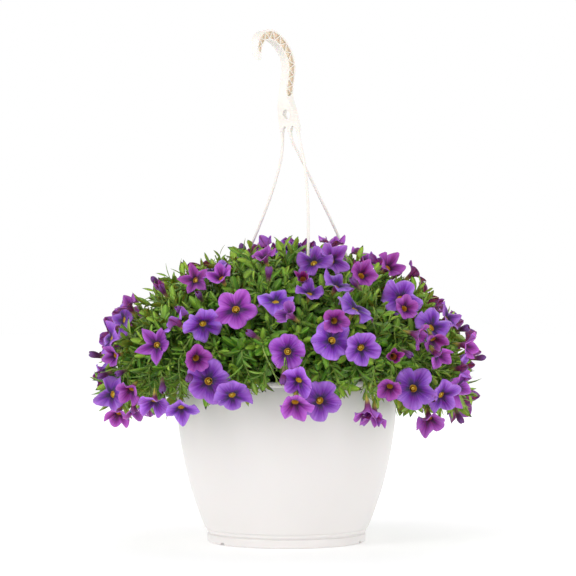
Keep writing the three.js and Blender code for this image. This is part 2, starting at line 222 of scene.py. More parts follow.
def newPiece(name, vertices, faces, materials, smooth=True):
    mesh = bpy.data.meshes.new(name)
    mesh.from_pydata([tuple(v) for v in vertices], [], [tuple(f) for f in faces])
    for material in materials:
        mesh.materials.append(material)
    mesh.polygons.foreach_set("use_smooth", [smooth] * len(mesh.polygons))
    mesh.update()
    piece = bpy.data.objects.new(name, mesh)
    bpy.context.scene.collection.objects.link(piece)
    return piece


def applyModifiers(piece):
    graph = bpy.context.evaluated_depsgraph_get()
    mesh = bpy.data.meshes.new_from_object(piece.evaluated_get(graph))
    piece.modifiers.clear()
    piece.data = mesh
    return piece


def place(piece, slotName, *nodes):
    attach(piece, "root")
    if nodes:
        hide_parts(*nodes)
    return piece


# vertices, faces and attributes of many small shapes that become one piece
class MeshStore:

    def __init__(self, *attributes):
        self.vertices = []
        self.faces = []
        self.materialIndex = []
        self.uv = []
        self.values = {name: [] for name in attributes}

    def add(self, vertices, faces, uv, material=0, **values):
        start = len(self.vertices)
        self.vertices.extend(vertices)
        self.faces.extend([tuple(i + start for i in face) for face in faces])
        self.materialIndex.extend([material] * len(faces))
        self.uv.extend(uv)
        for name, store in self.values.items():
            value = values.get(name, 0.0)
            store.extend(value if hasattr(value, "__len__") else [value] * len(vertices))

    def build(self, name, materials):
        piece = newPiece(name, self.vertices, self.faces, materials)
        mesh = piece.data
        mesh.polygons.foreach_set("material_index", self.materialIndex)
        layer = mesh.uv_layers.new(name="UVMap")
        corners = np.zeros(len(mesh.loops), np.int32)
        mesh.loops.foreach_get("vertex_index", corners)
        layer.data.foreach_set("uv", np.array(self.uv, np.float32)[corners].ravel())
        for key, store in self.values.items():
            data = mesh.attributes.new(key, "FLOAT", "POINT").data
            data.foreach_set("value", np.array(store, np.float32))
        return piece


def gridFaces(rows, columns, closed=True):
    faces = []
    for r in range(rows - 1):
        for c in range(columns if closed else columns - 1):
            d = (c + 1) % columns
            faces.append((r * columns + c, r * columns + d, (r + 1) * columns + d, (r + 1) * columns + c))
    return faces


# turns a profile of (radius, height) that starts and ends on the axis about Z
def lathe(name, profile, segments, materials):
    inner = profile[1:-1]
    vertices = []
    for radius, height in inner:
        for s in range(segments):
            turn = 2 * math.pi * s / segments
            vertices.append((radius * math.cos(turn), radius * math.sin(turn), height))
    faces = gridFaces(len(inner), segments)
    first = len(vertices)
    vertices += [(0, 0, profile[0][1]), (0, 0, profile[-1][1])]
    last = (len(inner) - 1) * segments
    for s in range(segments):
        t = (s + 1) % segments
        faces.append((first, t, s))
        faces.append((first + 1, last + s, last + t))
    return newPiece(name, vertices, faces, materials)


# a Catmull-Rom line through points, with the same number of steps between each two
def smoothLine(points, steps):
    points = [Vector(p) for p in points]
    ends = [2 * points[0] - points[1], *points, 2 * points[-1] - points[-2]]
    line = []
    for i in range(1, len(ends) - 2):
        a, b, c, d = ends[i - 1:i + 3]
        for s in range(steps):
            t = s / steps
            line.append(0.5 * (2 * b + (c - a) * t + (2 * a - 5 * b + 4 * c - d) * t * t
                               + (3 * b - a - 3 * c + d) * t * t * t))
    line.append(points[-1])
    return line


def onRing(radius, azimuth, height):
    turn = math.radians(azimuth)
    return Vector((radius * math.cos(turn), radius * math.sin(turn), height))


# a round closed tube along line, with a radius for each point
def tube(store, line, radii, sides=8, material=0, squash=1.0, **values):
    vertices = []
    uv = []
    normal = None
    for i, point in enumerate(line):
        ahead = line[min(i + 1, len(line) - 1)] - line[max(i - 1, 0)]
        ahead.normalize()
        if normal is None:
            normal = ahead.orthogonal().normalized()
        normal = (normal - ahead * normal.dot(ahead)).normalized()
        across = ahead.cross(normal)
        for s in range(sides):
            turn = 2 * math.pi * s / sides
            offset = normal * math.cos(turn) + across * math.sin(turn) * squash
            vertices.append(point + offset * radii[i])
            uv.append((s / sides, i / (len(line) - 1)))
    faces = gridFaces(len(line), sides)
    faces.append(tuple(reversed(range(sides))))
    faces.append(tuple(range((len(line) - 1) * sides, len(line) * sides)))
    store.add(vertices, faces, uv, material, **values)


# the pot

potLook = {"colour": hexColour("E6E2E0"), "darkest": 0.955, "roughness": 0.3, "subsurface": (0.05, 0.004),
           "cloud": 1.6, "stretch": (9, 9, 3), "grain": 900, "bump": (0.05, 0.0003)}
potShape = {
    "rimRadius": 127, "height": 187, "footRadius": 91, "ringWidth": 3, "wall": 1.6,
    "bodyCurve": [(93.9, 16.6), (97.6, 25), (102.9, 40), (110.2, 62), (116.4, 87),
                  (121.3, 112), (124.7, 137), (125.8, 158), (126, 176)],
    "notchAzimuths": (217, 337, 97), "notchWidth": 9, "notchHeight": 2.4, "notchTop": 3.5, "notchInside": 80,
    "notchArch": 4, "notchRoof": 0.3,
    "holeRing": 60, "holeRadius": 5, "holes": 6, "drillFrom": 4, "drillLength": 12,
    "segments": 360,
}


def potProfile():
    shape = potShape
    body = [(p.x, p.y) for p in smoothLine([(r, z, 0) for r, z in shape["bodyCurve"]], 3)]
    inside = [(r - shape["wall"], z + 0.5) for r, z in reversed(body)]
    foot, rim, top = shape["footRadius"], shape["rimRadius"], shape["height"]
    inner = foot - shape["ringWidth"]
    outside = [
        (0, 8), (inner - 1, 8), (inner, 7.4), (inner, 0.6), (inner + 0.6, 0),
        (foot - 1.6, 0), (foot - 0.6, 0.5), (foot - 0.1, 1.6), (foot, 3), (foot, 8.6), (foot - 0.2, 9.3),
        (foot - 1.1, 9.7), (foot - 1.4, 10.2), (foot - 1.1, 10.7), (foot + 0.2, 11.2),
        (foot + 0.5, 12.4), (foot + 0.9, 14.4), (foot + 0.7, 14.8), (foot + 0.9, 15.2), (foot + 2.2, 15.6),
        (foot + 2.6, 16),
    ]
    bead = [
        (rim - 1.4, top - 7), (rim - 1.5, top - 6.3), (rim - 0.9, top - 5.9), (rim - 0.2, top - 5.4),
        (rim, top - 4.6), (rim, top - 1.4), (rim - 0.3, top - 0.5), (rim - 1.1, top),
        (rim - 2.1, top - 0.1), (rim - 2.6, top - 0.6),
    ]
    return outside + body + bead + inside + [(inner - 1, 10.2), (inner - 3, 10), (0, 10)]


def bevelEdges(piece, width, angle=30):
    bevel = piece.modifiers.new("edges", "BEVEL")
    bevel.width = width
    bevel.segments = 2
    bevel.limit_method = "ANGLE"
    bevel.angle_limit = math.radians(angle)
    applyModifiers(piece)


def cutWith(piece, cutter, operation="DIFFERENCE"):
    modifier = piece.modifiers.new("cut", "BOOLEAN")
    modifier.operation = operation
    modifier.solver = "EXACT"
    modifier.object = cutter
    applyModifiers(piece)
    bpy.data.objects.remove(cutter)


# merges doubled vertices, closes what is still open and faces everything outward
def seal(piece, closeness=1e-6):
    shape = bmesh.new()
    shape.from_mesh(piece.data)
    bmesh.ops.remove_doubles(shape, verts=shape.verts, dist=closeness)
    bmesh.ops.dissolve_degenerate(shape, edges=shape.edges, dist=closeness)
    bmesh.ops.holes_fill(shape, edges=[edge for edge in shape.edges if edge.is_boundary])
    bmesh.ops.recalc_face_normals(shape, faces=shape.faces)
    if shape.calc_volume(signed=True) < 0:
        bmesh.ops.reverse_faces(shape, faces=shape.faces)
    shape.to_mesh(piece.data)
    shape.free()


# a box of this size round its centre, then turned about Z
def box(name, size, centre, turn, material):
    spin = Matrix.Rotation(math.radians(turn), 3, "Z")
    corners = [Vector((x, y, z)) for z in (-0.5, 0.5) for y in (-0.5, 0.5) for x in (-0.5, 0.5)]
    points = [spin @ (Vector((c.x * size[0], c.y * size[1], c.z * size[2])) + Vector(centre))
              for c in corners]
    faces = [(0, 2, 3, 1), (4, 5, 7, 6), (0, 1, 5, 4), (2, 6, 7, 3), (0, 4, 6, 2), (1, 3, 7, 5)]
    return newPiece(name, points, faces, [material], smooth=False)


# arches the drain notches into the foot ring's lower edge
def archNotches(pot):
    for vertex in pot.data.vertices:
        point = vertex.co
        if point.z > potShape["notchTop"] * mm or point.xy.length < potShape["notchInside"] * mm:
            continue
        for azimuth in potShape["notchAzimuths"]:
            away = (math.degrees(math.atan2(point.y, point.x)) - azimuth + 180) % 360 - 180
            across = abs(math.radians(away)) * point.xy.length / (potShape["notchWidth"] * mm / 2)
            if across < 1:
                lift = potShape["notchHeight"] * mm * math.sqrt(1 - across ** potShape["notchArch"])
                point.z = max(point.z, lift + point.z * potShape["notchRoof"])


def makePot():
    profile = [(r * mm, z * mm) for r, z in potProfile()]
    pot = lathe("potShell", profile, potShape["segments"], [potPlastic])
    archNotches(pot)
    drills = MeshStore()
    for i in range(potShape["holes"]):
        centre = onRing(potShape["holeRing"] * mm, i * 360 / potShape["holes"], potShape["drillFrom"] * mm)
        radius = potShape["holeRadius"] * mm
        tube(drills, [centre, centre + up * potShape["drillLength"] * mm], [radius, radius], sides=24)
    cutWith(pot, drills.build("drainHoles", []))
    place(pot, "pot", "pot_shell")


clipSocket = {"block": (0.0077, 0.014, 0.012), "blockAt": (0.12115, 0, 0.178), "slot": (0.0038, 0.0084, 0.02),
              "slotAt": (0.121, 0, 0.178), "edge": 0.0005}


def makeClipSockets():
    for name, azimuth in armAzimuths.items():
        block = box("clipSocket_" + name, clipSocket["block"], clipSocket["blockAt"], azimuth, potPlastic)
        cutWith(block, box("slotCut", clipSocket["slot"], clipSocket["slotAt"], azimuth, potPlastic))
        bevelEdges(block, clipSocket["edge"])
        place(block, "pot")


potPlastic = mouldedPlastic("potPlastic", potLook)
armAzimuths = {"left": 157, "back": 37, "front": 277}
makePot()
makeClipSockets()
print("pot made")

# the hanger

# the pocket colour is painted shade on the floors of the truss pockets
hangerLook = {"colour": hexColour("F2EDE6"), "pocket": hexColour("E9DAC3"), "darkest": 0.93,
              "roughness": 0.42, "subsurface": (0.1, 0.003), "cloud": 60, "grain": 1400,
              "bump": (0.12, 0.0002)}
hangerPlastic = mouldedPlastic("hangerPlastic", hangerLook)
hookTurn = math.radians(45)
hookAcross = Vector((math.cos(hookTurn), math.sin(hookTurn), 0))     # away from the tip
hookSide = Vector((math.sin(hookTurn), -math.cos(hookTurn), 0))      # along the row of arms
yokeCentre = Vector((4.3, 0, 0)) * mm

hangerShape = {
    "tipTaper": {"across": -0.044, "low": 0.546, "high": 0.566, "narrow": 0.3},
    "width": 11.5, "halfPlate": 20, "halfFront": 90, "edge": 0.0006, "edgeAngle": 40,
    "eyeRadius": 5.3, "eyeHeight": 489, "eyeFrom": -20, "eyeLength": 0.04,
    "yokeBottom": 470, "archRise": 6, "legMargin": 0.8,
    "armSpacing": 12.7, "armThickness": 3.2, "armSwell": 0.45, "swellFade": 4,
    "pocketDepth": 3.0, "flange": 1.3, "rib": 1.1, "ribStep": 5, "pocketSpan": 9,
    "firstPocket": 6, "plainEnd": 34, "pocketsAbove": 0.505, "tintWithin": 0.0007,
    "spine": [(-51.4, 548.5, 5), (-53.8, 559.5, 7.5), (-52, 570, 9.5), (-45, 576.6, 11), (-35, 578.2, 12),
              (-24.5, 574.8, 12), (-15.3, 568, 12), (-7.6, 558.8, 12), (-3.2, 547.5, 11.5),
              (-3.2, 536, 11.5), (-5, 525, 11.5), (-7, 514, 12), (-6.6, 502, 9), (-4.3, 491, 6),
              (-1.6, 481, 4.2), (0, 470, 4)],
    "flare": [(600, 5.75), (516, 5.75), (508, 7.2), (500, 10.4), (490, 13.6), (481, 15), (470, 15.4)],
}


def hookPoint(across, side, height):
    return yokeCentre + hookAcross * (across * mm) + hookSide * (side * mm) + up * (height * mm)


def spineStations(steps=6):
    line = smoothLine(hangerShape["spine"], steps)
    stations = []
    for i, point in enumerate(line):
        ahead = line[min(i + 1, len(line) - 1)] - line[max(i - 1, 0)]
        ahead = Vector((ahead.x, ahead.y)).normalized()
        stations.append((Vector((point.x, point.y)), ahead, point.z))
    return stations


# closes an outline of (u, height) into a plate of twice this depth, placed by toPoint(u, depth, height)
def prism(name, outline, toPoint, depth):
    count = len(outline)
    vertices = [toPoint(u, side, z) for side in (-depth, depth) for u, z in outline]
    faces = [tuple(range(count)), tuple(reversed(range(count, 2 * count)))]
    faces += [(i, i + count, (i + 1) % count + count, (i + 1) % count) for i in range(count)]
    piece = newPiece(name, vertices, faces, [], smooth=False)
    seal(piece)
    return piece


def yokeOutline():
    shape = hangerShape
    bottom = shape["yokeBottom"]
    pitch = shape["armSpacing"]
    leg = shape["armThickness"] / 2 + shape["legMargin"]
    left = [(-half, z) for z, half in shape["flare"]]
    right = [(half, z) for z, half in reversed(shape["flare"])]
    arches = []
    for middle in (-pitch / 2, pitch / 2):
        half = pitch / 2 - leg
        for s in range(9):
            turn = math.pi * s / 8
            arches.append((middle - half * math.cos(turn), bottom + shape["archRise"] * math.sin(turn)))
    smoothLeft = [(p.x, p.y) for p in smoothLine([(u, z, 0) for u, z in left[1:]], 4)]
    smoothRight = [(-u, z) for u, z in reversed(smoothLeft)]
    return [left[0]] + smoothLeft + arches + smoothRight + [right[-1]]


# the triangular pockets between the zigzag ribs, on both sides of the hook
def trussPockets():
    shape = hangerShape
    stations = spineStations(10)[shape["firstPocket"]:-shape["plainEnd"]]
    step = shape["ribStep"]
    store = MeshStore()
    for number, start in enumerate(range(0, len(stations) - 2 * step, step)):
        a, middle, b = (stations[start + i * step] for i in range(3))
        towards = 1 if number % 2 else -1
        corners = []
        for (centre, ahead, depth), reach in ((a, towards), (b, towards), (middle, -towards)):
            outward = Vector((-ahead.y, ahead.x))
            half = depth / 2 - shape["flange"]
            corners.append(centre + outward * half * reach)
        heart = sum(corners, Vector((0, 0))) / 3
        corners = [heart + (c - heart) * (1 - shape["rib"] / shape["pocketSpan"]) for c in corners]
        for side in (-1, 1):
            outerFace = side * (shape["width"] / 2 + 1)
            innerFace = side * (shape["width"] / 2 - shape["pocketDepth"])
            vertices = [hookPoint(c.x, s, c.y) for s in (innerFace, outerFace) for c in corners]
            faces = [(0, 1, 2), (5, 4, 3), (0, 3, 4, 1), (1, 4, 5, 2), (2, 5, 3, 0)]
            store.add(vertices, faces, [(0, 0)] * 6)
    pockets = store.build("trussPockets", [])
    seal(pockets)
    return pockets


# marks the pockets' floors, which get a painted shade colour
def markPocketShade(mesh):
    floorDepth = (hangerShape["width"] / 2 - hangerShape["pocketDepth"]) * mm
    values = []
    for vertex in mesh.vertices:
        aside = abs((vertex.co - yokeCentre).dot(hookSide))
        onFloor = abs(aside - floorDepth) < hangerShape["tintWithin"]
        values.append(1.0 if onFloor and vertex.co.z > hangerShape["pocketsAbove"] else 0.0)
    mesh.attributes.new("pocket", "FLOAT", "POINT").data.foreach_set("value", values)


def taperTip(mesh):
    taper = hangerShape["tipTaper"]
    for vertex in mesh.vertices:
        offset = vertex.co - yokeCentre
        if offset.dot(hookAcross) < taper["across"]:
            share = min(max((vertex.co.z - taper["low"]) / (taper["high"] - taper["low"]), 0), 1)
            vertex.co -= hookSide * offset.dot(hookSide) * (1 - share) * (1 - taper["narrow"])


def makeHook():
    stations = spineStations()
    outline = [c + Vector((a.y, -a.x)) * d / 2 for c, a, d in stations]
    outline += [c - Vector((a.y, -a.x)) * d / 2 for c, a, d in reversed(stations)]
    hook = prism("hangerHook", [tuple(p) for p in outline], hookPoint, hangerShape["halfPlate"])
    front = prism("hangerFront", yokeOutline(), lambda u, side, z: hookPoint(side, u, z),
                  hangerShape["halfFront"])
    cutWith(hook, front, "INTERSECT")
    eye = MeshStore()
    start = hookPoint(hangerShape["eyeFrom"], 0, hangerShape["eyeHeight"])
    radius = hangerShape["eyeRadius"] * mm
    tube(eye, [start, start + hookAcross * hangerShape["eyeLength"]], [radius, radius], sides=32)
    eyeCut = eye.build("eyeCut", [])
    seal(eyeCut)
    cutWith(hook, eyeCut)
    cutWith(hook, trussPockets())
    bevelEdges(hook, hangerShape["edge"], hangerShape["edgeAngle"])
    hook.data.materials.clear()
    hook.data.materials.append(hangerPlastic)
    markPocketShade(hook.data)
    taperTip(hook.data)
    place(hook, "hanger", "hanger_hook")


armRoutes = {
    "left": [(-4.8, 9.6, 452), (-8.3, 11.5, 430), (-19.5, 16, 393), (-40.8, 24, 340), (-70, 34.5, 282),
             (-97, 43.3, 232)],
    "back": [(7, 2, 458), (14, 7.3, 445), (32.8, 21.4, 407), (65.2, 45.7, 340), (86, 61.5, 282),
             (95, 70.5, 232)],
    "front": [(15.6, -12, 457), (20.8, -19, 430), (24, -36, 393), (24.5, -62, 345), (23, -88, 290),
              (18.8, -110, 235)],
}


def armLine(name):
    offset = {"left": -1, "back": 0, "front": 1}[name] * hangerShape["armSpacing"]
    root = hookPoint(0, offset, hangerShape["yokeBottom"] + 0.5)
    route = [Vector(point) * mm for point in armRoutes[name]]
    foot = [onRing(snapFoot["ring"], armAzimuths[name], z) for z in snapFoot["entry"]]
    return smoothLine([root, *route, *foot], 8)


snapFoot = {"blade": (0.0028, 0.0074, 0.022), "bladeAt": (0.121, 0, 0.179),
            "barb": (0.0028, 0.0104, 0.0036), "barbAt": (0.121, 0, 0.1698),
            "ring": 0.121, "entry": (0.200, 0.187), "merge": 0.00001}


def makeArms():
    for name, azimuth in armAzimuths.items():
        line = armLine(name)
        half = hangerShape["armThickness"] / 2 * mm
        swell, fade = hangerShape["armSwell"], hangerShape["swellFade"]
        store = MeshStore("pocket")
        tube(store, line, [half * (1 + swell * math.exp(-i / fade)) for i in range(len(line))], sides=14)
        arm = store.build("hangerArm_" + name, [hangerPlastic])
        blade = box("armBlade", snapFoot["blade"], snapFoot["bladeAt"], azimuth, hangerPlastic)
        cutWith(blade, box("armBarb", snapFoot["barb"], snapFoot["barbAt"], azimuth, hangerPlastic), "UNION")
        cutWith(arm, blade, "UNION")
        seal(arm, snapFoot["merge"])
        place(arm, "hanger", "hanger_arm_" + name)


makeHook()
makeArms()
print("hanger made")

# potting mix and roots

mixLook = {"dark": hexColour("2A1C12"), "light": hexColour("5A4330"), "roughness": 0.95, "scale": 260,
           "detail": 6, "stops": (0.35, 0.7), "bump": (0.8, 0.002)}
mixShape = {
    "surface": 0.160, "radius": 0.1235, "edge": (0.1232, -0.003), "seed": 5, "rows": 44, "columns": 120,
    "crumb": 0.00048, "crumbPitch": (40, 420), "waves": 14,
    "wall": [(0, 10.4), (86.5, 10.4), (89.9, 16), (95.2, 26), (100.5, 41), (107.8, 63), (114, 88),
             (118.9, 113), (122.3, 138)],
}
rootLook = {"dark": hexColour("4B3524"), "light": hexColour("C9B496"), "roughness": 0.9, "scale": 700,
            "detail": 5, "stretch": (1, 1, 0.2), "stops": (0.4, 0.62), "bump": (0.7, 0.001)}


def makeMix():
    rows, surface = mixShape["rows"], mixShape["surface"]
    profile = [(r * mm, z * mm) for r, z in mixShape["wall"]]
    profile += [(mixShape["edge"][0], surface + mixShape["edge"][1])]
    profile += [(mixShape["radius"] * (1 - i / rows), surface) for i in range(rows)] + [(0, surface)]
    mix = lathe("pottingMix", profile, mixShape["columns"], [speckledMaterial("moistMix", mixLook)])
    rng = random.Random(mixShape["seed"])
    waves = [(rng.uniform(*mixShape["crumbPitch"]), rng.uniform(0, 6.28), rng.uniform(0, 6.28))
             for _ in range(mixShape["waves"])]
    for vertex in mix.data.vertices:
        if vertex.co.z < surface - 0.001:
            continue
        crumb = 0
        for pitch, heading, phase in waves:
            along = vertex.co.x * math.cos(heading) + vertex.co.y * math.sin(heading)
            crumb += math.sin(along * pitch + phase)
        vertex.co.z += mixShape["crumb"] * crumb
    place(mix, "soil", "potting_mix")


makeMix()
roots = speckledMaterial("mattedRoots", rootLook)
for name, node in frame["nodes"].items():
    if name.startswith("root_ball"):
        node.data.materials.clear()
        node.data.materials.append(roots)
print("potting mix made")

# where the canopy is

canopyHeart = Vector((0, 0, 0.19))
reachGrid = {"step": 5, "lowest": -30, "rows": 25, "columns": 72, "top": 23.999}     # degrees, then counts


def canopyTree():
    vertices = []
    faces = []
    for name, node in frame["nodes"].items():
        if "foliage" in name:
            start = len(vertices)
            vertices += [v.co.copy() for v in node.data.vertices]
            faces += [[i + start for i in p.vertices] for p in node.data.polygons]
    return BVHTree.FromPolygons(vertices, faces)


canopy = canopyTree()


# the canopy's outermost point in this direction from its heart, taken over a small patch
def canopyReach(azimuth, elevation):
    best = 0.0
    for turn, tilt in ((0, 0), (4, 0), (-4, 0), (0, 3), (0, -3)):
        direction = onRing(math.cos(math.radians(elevation + tilt)), azimuth + turn,
                           math.sin(math.radians(elevation + tilt)))
        hit = canopy.ray_cast(canopyHeart + direction * 0.5, -direction)[0]
        if hit is not None:
            best = max(best, (hit - canopyHeart).length)
    return best


def measureReach():
    step, lowest = reachGrid["step"], reachGrid["lowest"]
    columns = range(reachGrid["columns"])
    table = np.array([[canopyReach(column * step, lowest + row * step) for column in columns]
                      for row in range(reachGrid["rows"])])
    for row in range(reachGrid["rows"] - 2, -1, -1):       # below the hem, keep the hem's own reach
        missing = table[row] == 0
        table[row][missing] = table[row + 1][missing]
    return table


reachTable = measureReach()


def canopyPoint(azimuth, elevation):
    a = (azimuth % 360) / reachGrid["step"]
    e = min(max((elevation - reachGrid["lowest"]) / reachGrid["step"], 0), reachGrid["top"])
    i, j = int(e), int(a) % reachGrid["columns"]
    u, v = e - i, a - int(a)
    k, l = min(i + 1, reachGrid["rows"] - 1), (j + 1) % reachGrid["columns"]
    reach = ((reachTable[i, j] * (1 - v) + reachTable[i, l] * v) * (1 - u)
             + (reachTable[k, j] * (1 - v) + reachTable[k, l] * v) * u)
    level = math.cos(math.radians(elevation))
    return canopyHeart + onRing(level * reach, azimuth, math.sin(math.radians(elevation)) * reach)


def canopyNormal(azimuth, elevation):
    here = canopyPoint(azimuth, elevation)
    aside = canopyPoint(azimuth + 6, elevation) - canopyPoint(azimuth - 6, elevation)
    rise = canopyPoint(azimuth, min(elevation + 6, 89)) - canopyPoint(azimuth, elevation - 6)
    normal = aside.cross(rise).normalized()
    return normal if normal.dot(here - canopyHeart) > 0 else -normal


# the canopy's outer surface at this azimuth and height, and the way it faces
def canopyAt(azimuth, height):
    best = min(range(-25, 88), key=lambda e: abs(canopyPoint(azimuth, e).z - height))
    return canopyPoint(azimuth, best), canopyNormal(azimuth, best)


print("canopy measured")

# where the blooms are

# spread is how far the limb opens from the axis, in degrees, and curl how far its edge bends back;
# notch and point shape the lobes; reach and tube are lengths as shares of the flower's size;
# span is the open width's half, dusk the withering, and turn how far chance sways it, in degrees
bloomTraits = ("spread", "curl", "notch", "point", "reach", "tube", "ruffle", "fold",
               "span", "dusk", "scale", "turn")
bloomRows = {
    "open": (74, 26, 0.27, 1.9, 0.46, 0.34, 0.18, 0.13, 0.53, 0.0, 1.02, 9),
    "cupped": (58, 26, 0.26, 1.8, 0.49, 0.36, 0.18, 0.11, 0.48, 0.0, 0.98, 14),
    "trumpet": (38, 36, 0.26, 1.7, 0.55, 0.42, 0.15, 0.09, 0.4, 0.12, 0.88, 26),
    "star": (78, 12, 0.4, 1.2, 0.52, 0.36, 0.09, 0.08, 0.55, 0.0, 1.14, 6),
    "pointed": (68, 10, 0.58, 0.8, 0.56, 0.34, 0.08, 0.06, 0.5, 0.14, 1.0, 10),
    "closing": (24, -6, 0.42, 1.0, 0.52, 0.5, 0.1, 0.06, 0.22, 0.42, 0.9, 26),
    "bud": (10, -64, 0.1, 2.0, 0.4, 0.6, 0.0, 0.02, 0.1, 0.68, 0.86, 20),
}
bloomKinds = {kind: dict(zip(bloomTraits, row)) for kind, row in bloomRows.items()}
bloomSeat = {"deeper": 0.12, "opensPast": 50, "narrowDepth": 0.6, "footInside": 0.028, "footBelow": 0.004,
             "steepest": 88}
bloomChance = random.Random(17)
leafRoomLook = {"clearAhead": 0.018, "fullLeaf": 0.018, "stemStop": 0.0, "limbDepth": 0.005}


# yaw 0 looks to the front and 90 to the right; pitch 90 looks up
def facing(yaw, pitch):
    level = math.cos(math.radians(pitch))
    return Vector((math.sin(math.radians(yaw)) * level, -math.cos(math.radians(yaw)) * level,
                   math.sin(math.radians(pitch))))


def bloomAt(azimuth, height, kind, size, yaw, pitch, tone=0.0, lift=-3):
    return bloomOn(*canopyAt(azimuth, height * mm), kind, size, yaw, pitch, tone, lift)


def bloomOn(point, normal, kind, size, yaw, pitch, tone, lift):
    look = bloomKinds[kind]
    sway = [bloomChance.uniform(-look["turn"], look["turn"]) for _ in range(2)]
    way = facing(yaw + sway[0], min(pitch + sway[1], bloomSeat["steepest"]))
    size *= mm * look["scale"]
    heart = point + normal * lift * mm
    depth = 1.0 if look["spread"] > bloomSeat["opensPast"] else bloomSeat["narrowDepth"]
    base = heart - way * size * (look["tube"] + bloomSeat["deeper"]) * depth
    return {"base": base, "facing": way, "kind": kind, "size": size, "tone": tone,
            "foot": point - normal * bloomSeat["footInside"] - up * bloomSeat["footBelow"], "heart": heart}


# azimuth and height of the place on the canopy, kind, size, then yaw, pitch and how magenta it is
frontBlooms = [
    (252, 270, "star", 42, -6, 14, 0.75), (247, 189, "open", 50, -14, 4, 0.15),
    (254, 172, "open", 42, 8, -42, 0.1), (283, 235, "open", 47, 8, 20, 0.1),
    (291, 228, "cupped", 42, 30, -14, 0.1), (270, 223, "open", 43, -12, 2, 0.5),
    (329, 281, "open", 50, 22, 26, 0.1), (309, 184, "open", 50, 8, 4, 0.05),
    (326, 252, "open", 46, 38, 18, 0.0), (287, 323, "open", 42, -12, 34, 0.2),
    (304, 326, "cupped", 42, 26, 34, 0.3), (225, 315, "open", 44, -40, 66, 0.0),
    (224, 302, "pointed", 34, -30, 20, 0.9), (212, 288, "closing", 28, -50, 30, 1.0),
    (184, 257, "open", 42, -62, 12, 0.1), (192, 268, "trumpet", 34, -44, 30, 0.8),
    (227, 230, "pointed", 42, -16, 8, 0.6), (231, 256, "cupped", 38, -80, 34, 0.1),
    (243, 250, "open", 42, 4, -38, 0.0), (232, 266, "bud", 26, -30, 40, 0.8),
    (243, 218, "trumpet", 36, 40, -24, 0.9), (221, 181, "trumpet", 36, -20, -58, 0.8),
    (204, 172, "open", 46, -44, -4, 0.1), (229, 164, "cupped", 40, -10, -52, 0.2),
    (208, 152, "trumpet", 36, -20, -70, 0.9), (219, 158, "trumpet", 34, 10, -66, 0.8),
    (237, 158, "cupped", 38, 10, -56, 0.0), (181, 212, "bud", 28, -70, 10, 0.9),
    (203, 195, "bud", 26, -60, -20, 1.0), (214, 196, "bud", 24, -20, -20, 0.9),
    (233, 188, "bud", 26, -10, -40, 0.8), (242, 198, "bud", 28, -14, -56, 0.8),
    (210, 216, "trumpet", 30, -50, 0, 0.6), (257, 323, "trumpet", 32, -10, 40, 0.8),
    (277, 301, "closing", 28, 10, 30, 1.0), (291, 297, "cupped", 40, 60, 50, 0.0),
    (304, 304, "trumpet", 38, 10, 34, 0.9), (298, 296, "bud", 26, -30, 20, 0.9),
    (266, 282, "open", 42, -10, 68, 0.0), (279, 288, "cupped", 34, 20, 50, 0.1),
    (272, 259, "trumpet", 36, -50, 20, 0.5), (293, 274, "open", 46, 40, 52, 0.0),
    (284, 258, "trumpet", 34, 20, 10, 0.9), (269, 197, "bud", 24, -10, -60, 0.9),
    (273, 189, "cupped", 38, -10, -24, 0.2), (272, 171, "trumpet", 42, -24, -44, 0.7),
    (280, 167, "open", 48, 14, -20, 0.1), (294, 165, "trumpet", 40, 6, -52, 0.8),
    (343, 314, "trumpet", 38, 20, 50, 0.9), (357, 306, "trumpet", 36, 74, 20, 0.9),
    (311, 243, "trumpet", 36, 64, -12, 0.9), (320, 239, "trumpet", 36, 50, -20, 0.9),
    (301, 218, "closing", 32, 0, 10, 1.0), (306, 221, "bud", 26, 30, -10, 0.9),
    (318, 221, "trumpet", 36, 66, -30, 0.8), (300, 188, "trumpet", 34, -20, -30, 0.9),
    (332, 178, "open", 44, 58, -18, 0.7), (320, 169, "cupped", 42, 30, -30, 0.1),
    (318, 150, "trumpet", 42, 10, -70, 0.7), (307, 152, "trumpet", 38, -10, -66, 0.6),
    (297, 158, "trumpet", 38, 0, -60, 0.8), (353, 246, "bud", 28, 50, 30, 0.9),
    (338, 227, "trumpet", 38, 54, -12, 0.9), (4, 208, "bud", 26, 88, -10, 1.0),
    (340, 146, "bud", 26, 50, -60, 1.0), (334, 200, "cupped", 38, 70, 6, 0.2),
    (198, 235, "open", 40, -66, 16, 0.2), (262, 305, "bud", 26, -10, 60, 0.8),
    (240, 300, "trumpet", 34, -20, 50, 0.7), (235, 282, "bud", 24, -20, 30, 0.9),
    (314, 270, "trumpet", 34, 30, 30, 0.8), (345, 260, "cupped", 38, 60, 30, 0.3),
    (260, 240, "bud", 26, -62, 28, 0.8),
]

goldenTurn = 137.508        # degrees between neighbours in a spiral
crownLook = {"count": 34, "seed": 5, "firstAzimuth": 20, "elevation": (44, 86), "pitch": (42, 80),
             "sway": 30, "lift": -4, "frontLimit": -0.35, "armRoom": 0.026}
restOfBlooms = {"count": 70, "from": 8, "to": 178, "seed": 23, "lift": -4, "lowest": 148, "rise": 184,
                "sway": 26, "droopBelow": 210, "droop": 28,
                "kinds": ["open"] * 7 + ["cupped"] * 5 + ["trumpet"] * 6 + ["bud"] * 4 + ["star", "closing"],
                "sizes": {"open": (42, 50), "cupped": (36, 44), "trumpet": (34, 42), "bud": (24, 29),
                          "star": (34, 42), "closing": (28, 34)}}


